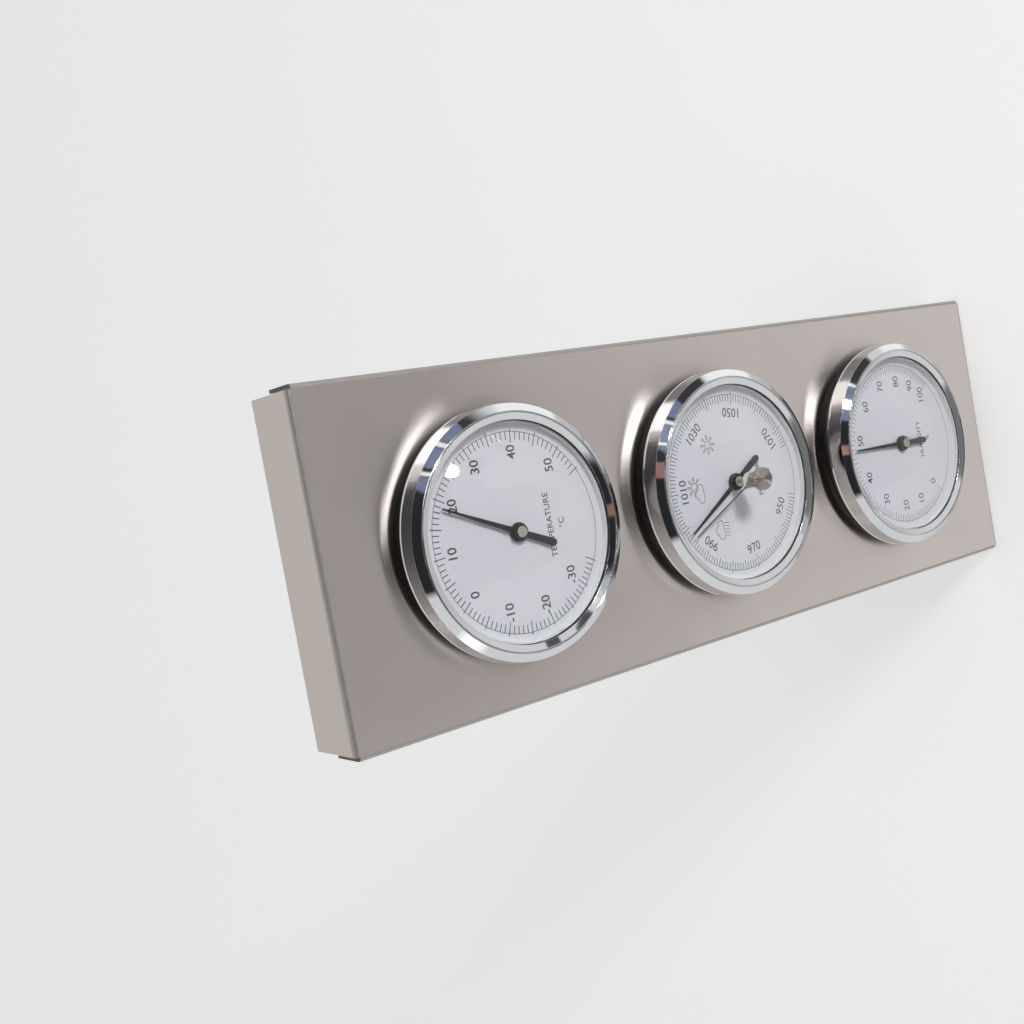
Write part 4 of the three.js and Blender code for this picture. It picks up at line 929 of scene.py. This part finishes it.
def blade(piece_name, name, outline, heights, turn):
    """A flat stamped blade on a dial, from its outline, turned clockwise from the top."""
    shape = bmesh.new()
    spin = Matrix.Rotation(-math.radians(turn), 2)
    sides = []
    for height in heights:
        sides.append([shape.verts.new(on_dial(name, *(spin @ point), height)) for point in outline])
    low, high = sides
    shape.faces.new(low)
    shape.faces.new(high)
    for index in range(len(outline)):
        shape.faces.new((low[index - 1], low[index], high[index], high[index - 1]))
    bmesh.ops.recalc_face_normals(shape, faces=shape.faces)
    return object_from(shape, piece_name)


pointer_black = finish("satin_black_paint", (0.010, 0.010, 0.010), (0.014, 0.014, 0.014), 200.0,
                       (0.4, 0.5), 2500.0, 0.0004 * MM, specular_ior_level=0.2)
head_metal = finish("worn_nickel_head", (0.52, 0.49, 0.41), (0.58, 0.55, 0.47), 500.0,
                    (0.3, 0.42), 5000.0, 0.001 * MM, metallic=1.0)
for name in INSTRUMENTS:
    tail_end = []
    for step in range(TAIL_END_STEPS + 1):
        angle = math.pi * step / TAIL_END_STEPS
        tail_end.append(Vector((math.cos(angle), 1 - math.sin(angle))) * TAIL_HALF - Vector((0, TAIL)))
    outline = [Vector((-TIP_HALF, TIP)), Vector((TIP_HALF, TIP)), Vector((ROOT_HALF, 0)), *tail_end,
               Vector((-ROOT_HALF, 0))]
    hub_outline = [(radius * MM, height * MM) for radius, height in HUB_OUTLINE]
    hub = turned(f"{name}_hand", name, eased(hub_outline, HUB_EASE, steps=2), steps=64)
    needle = blade("needle", name, outline, BLADE, REST_TURN[name])
    fit(combined(hub, [needle], "UNION"), f"{name}_hand", "pointer_black", pointer_black, f"{name}_pointer")
    head_outline = [(0, HEAD_BASE), (HEAD_RADIUS, HEAD_BASE), (HEAD_RADIUS, HEAD_SIDE_TOP), (0, HEAD_TOP)]
    head = turned(f"{name}_arbor_head", name, eased(head_outline, HEAD_EASE), steps=48)
    fit(head, f"{name}_hand", "bright_steel", head_metal)

# The lenses
# Domed lenses of clear moulded acrylic, with a flat rim that the bezel holds down.
# The barometer's lens has a small hole in its middle for the set knob.
LENS_RIM = DIAL_RADIUS
LENS_SEAT = RING_TOP
LENS_RIM_TOP = 8.9 * MM
DOME_BASE = 31.3 * MM
DOME_TOP = 14.0 * MM
LENS_WALL = 1.5 * MM
LENS_HOLE = {"thermometer": 0.0, "barometer": 1.5 * MM, "hygrometer": 0.0}
DOME_RINGS = 20
DOME_RISE = DOME_TOP - LENS_RIM_TOP
DOME_RADIUS = (DOME_BASE ** 2 + DOME_RISE ** 2) / (2 * DOME_RISE)
DOME_CENTRE = DOME_TOP - DOME_RADIUS


def dome_height(radius, sphere):
    """The height of a dome of a sphere's radius, at a radius from the lens's axis."""
    return DOME_CENTRE + math.sqrt(sphere ** 2 - radius ** 2)


lens_clear = finish("clear_acrylic", (1.0, 1.0, 1.0), (0.99, 0.995, 1.0), 40.0,
                    (0.0, 0.003), 600.0, 0.0004 * MM, transmission_weight=1.0, ior=1.49)
lens_nodes = lens_clear.node_tree.nodes
lens_links = lens_clear.node_tree.links
lens_paths = lens_nodes.new("ShaderNodeLightPath")
clear_way = lens_nodes.new("ShaderNodeBsdfTransparent")
lens_mix = lens_nodes.new("ShaderNodeMixShader")
light_way = lens_nodes.new("ShaderNodeMath")
light_way.operation = "MAXIMUM"
lens_links.new(lens_paths.outputs["Is Shadow Ray"], light_way.inputs[0])
lens_links.new(lens_paths.outputs["Is Diffuse Ray"], light_way.inputs[1])
lens_links.new(light_way.outputs[0], lens_mix.inputs[0])
lens_links.new(lens_nodes["Principled BSDF"].outputs[0], lens_mix.inputs[1])
lens_links.new(clear_way.outputs[0], lens_mix.inputs[2])
lens_links.new(lens_mix.outputs[0], lens_nodes["Material Output"].inputs["Surface"])
for name in INSTRUMENTS:
    hole = LENS_HOLE[name]
    inner_sphere = DOME_RADIUS - LENS_WALL
    inner_base = math.sqrt(inner_sphere ** 2 - (LENS_SEAT - DOME_CENTRE) ** 2)
    outside = [hole + (DOME_BASE - hole) * step / DOME_RINGS for step in range(DOME_RINGS + 1)]
    inside = [hole + (inner_base - hole) * step / DOME_RINGS for step in range(DOME_RINGS + 1)]
    outline = [(radius, dome_height(radius, DOME_RADIUS)) for radius in outside]
    outline += [(LENS_RIM, LENS_RIM_TOP), (LENS_RIM, LENS_SEAT)]
    outline += [(radius, dome_height(radius, inner_sphere)) for radius in reversed(inside)]
    fit(turned(f"{name}_domed_lens", name, outline), "station", "lens_clear", lens_clear, f"{name}_lens")

# The bezels
# Spun brass rings, chromium plated and polished, whose lower edge grips the rim of the case.
# A tapered wall stands on a small bead, and a sloping face leads over a groove to a lip on the lens.
BEZEL_OUTLINE = [(36.6, 3.0), (36.85, 3.2), (36.85, 3.5), (36.68, 3.75), (36.4, 8.5), (34.05, 9.97),
                 (33.95, 9.4), (33.6, 9.4), (33.5, 9.95), (31.6, 9.25), (31.75, 8.9), (33.2, 8.9),
                 (35.5, 7.6), (35.5, 3.0)]
BEZEL_EASE = 0.07 * MM
bezel_chrome = finish("polished_chrome", (0.68, 0.685, 0.70), (0.71, 0.715, 0.725), 90.0,
                      (0.03, 0.075), 220.0, 0.004 * MM, metallic=1.0)
for name in INSTRUMENTS:
    outline = [(radius * MM, height * MM) for radius, height in BEZEL_OUTLINE]
    rim = turned(f"{name}_bezel_ring", name, eased(outline, BEZEL_EASE), steps=160)
    fit(rim, "station", "bezel_chrome", bezel_chrome, f"{name}_bezel")

# The set hand
# A fine needle of darkened steel under the barometer's lens, turned by a nickel-plated knob in front
# of it. The knob is fluted and shows the marks of the lathe, and its shaft is riveted over a washer.
FLUTES = 18
STEPS_PER_FLUTE = 8
FLUTE_DEPTH = 0.2 * MM
FLUTED_FROM = 3.3 * MM
KNOB_EASE = 0.2 * MM
KNOB_OUTLINE = [(0, 10.75), (1.7, 10.75), (1.7, 11.15), (1.2, 11.15), (1.2, 14.25), (2.4, 14.25),
                (2.4, 17.55), (3.7, 17.55), (3.7, 19.35), (3.2, 19.35), (0, 18.85)]
knob_nickel = finish("turned_nickel", (0.38, 0.345, 0.305), (0.43, 0.395, 0.35), 300.0,
                     (0.31, 0.36), 5000.0, 0.0006 * MM,
                     metallic=1.0, anisotropic=1.0, anisotropic_rotation=0.25)
turning_marks = knob_nickel.node_tree.nodes.new("ShaderNodeTangent")
turning_marks.direction_type = "RADIAL"
turning_marks.axis = "Y"
knob_nickel.node_tree.links.new(turning_marks.outputs[0],
                                knob_nickel.node_tree.nodes["Principled BSDF"].inputs["Tangent"])
dark_steel = finish("darkened_steel_needle", (0.20, 0.20, 0.20), (0.25, 0.25, 0.24), 400.0,
                    (0.25, 0.35), 4000.0, 0.001 * MM, metallic=1.0)
knob_outline = [(radius * MM, height * MM) for radius, height in KNOB_OUTLINE]
knob = turned("set_knob_turned", "barometer", eased(knob_outline, KNOB_EASE), steps=STEPS_PER_FLUTE * FLUTES)
for vertex in knob.data.vertices:
    away = Vector((vertex.co.x, 0.0, vertex.co.z - CENTRES["barometer"]))
    if away.length > FLUTED_FROM:
        wave = 0.5 + 0.5 * math.cos(FLUTES * math.atan2(away.x, away.z))
        vertex.co -= away.normalized() * FLUTE_DEPTH * wave ** 2
fit(knob, "set_hand_and_knob", "knob_nickel", knob_nickel, "set_knob")
carry("set_hand", dark_steel)
carry("set_knob_washer", ring_white)
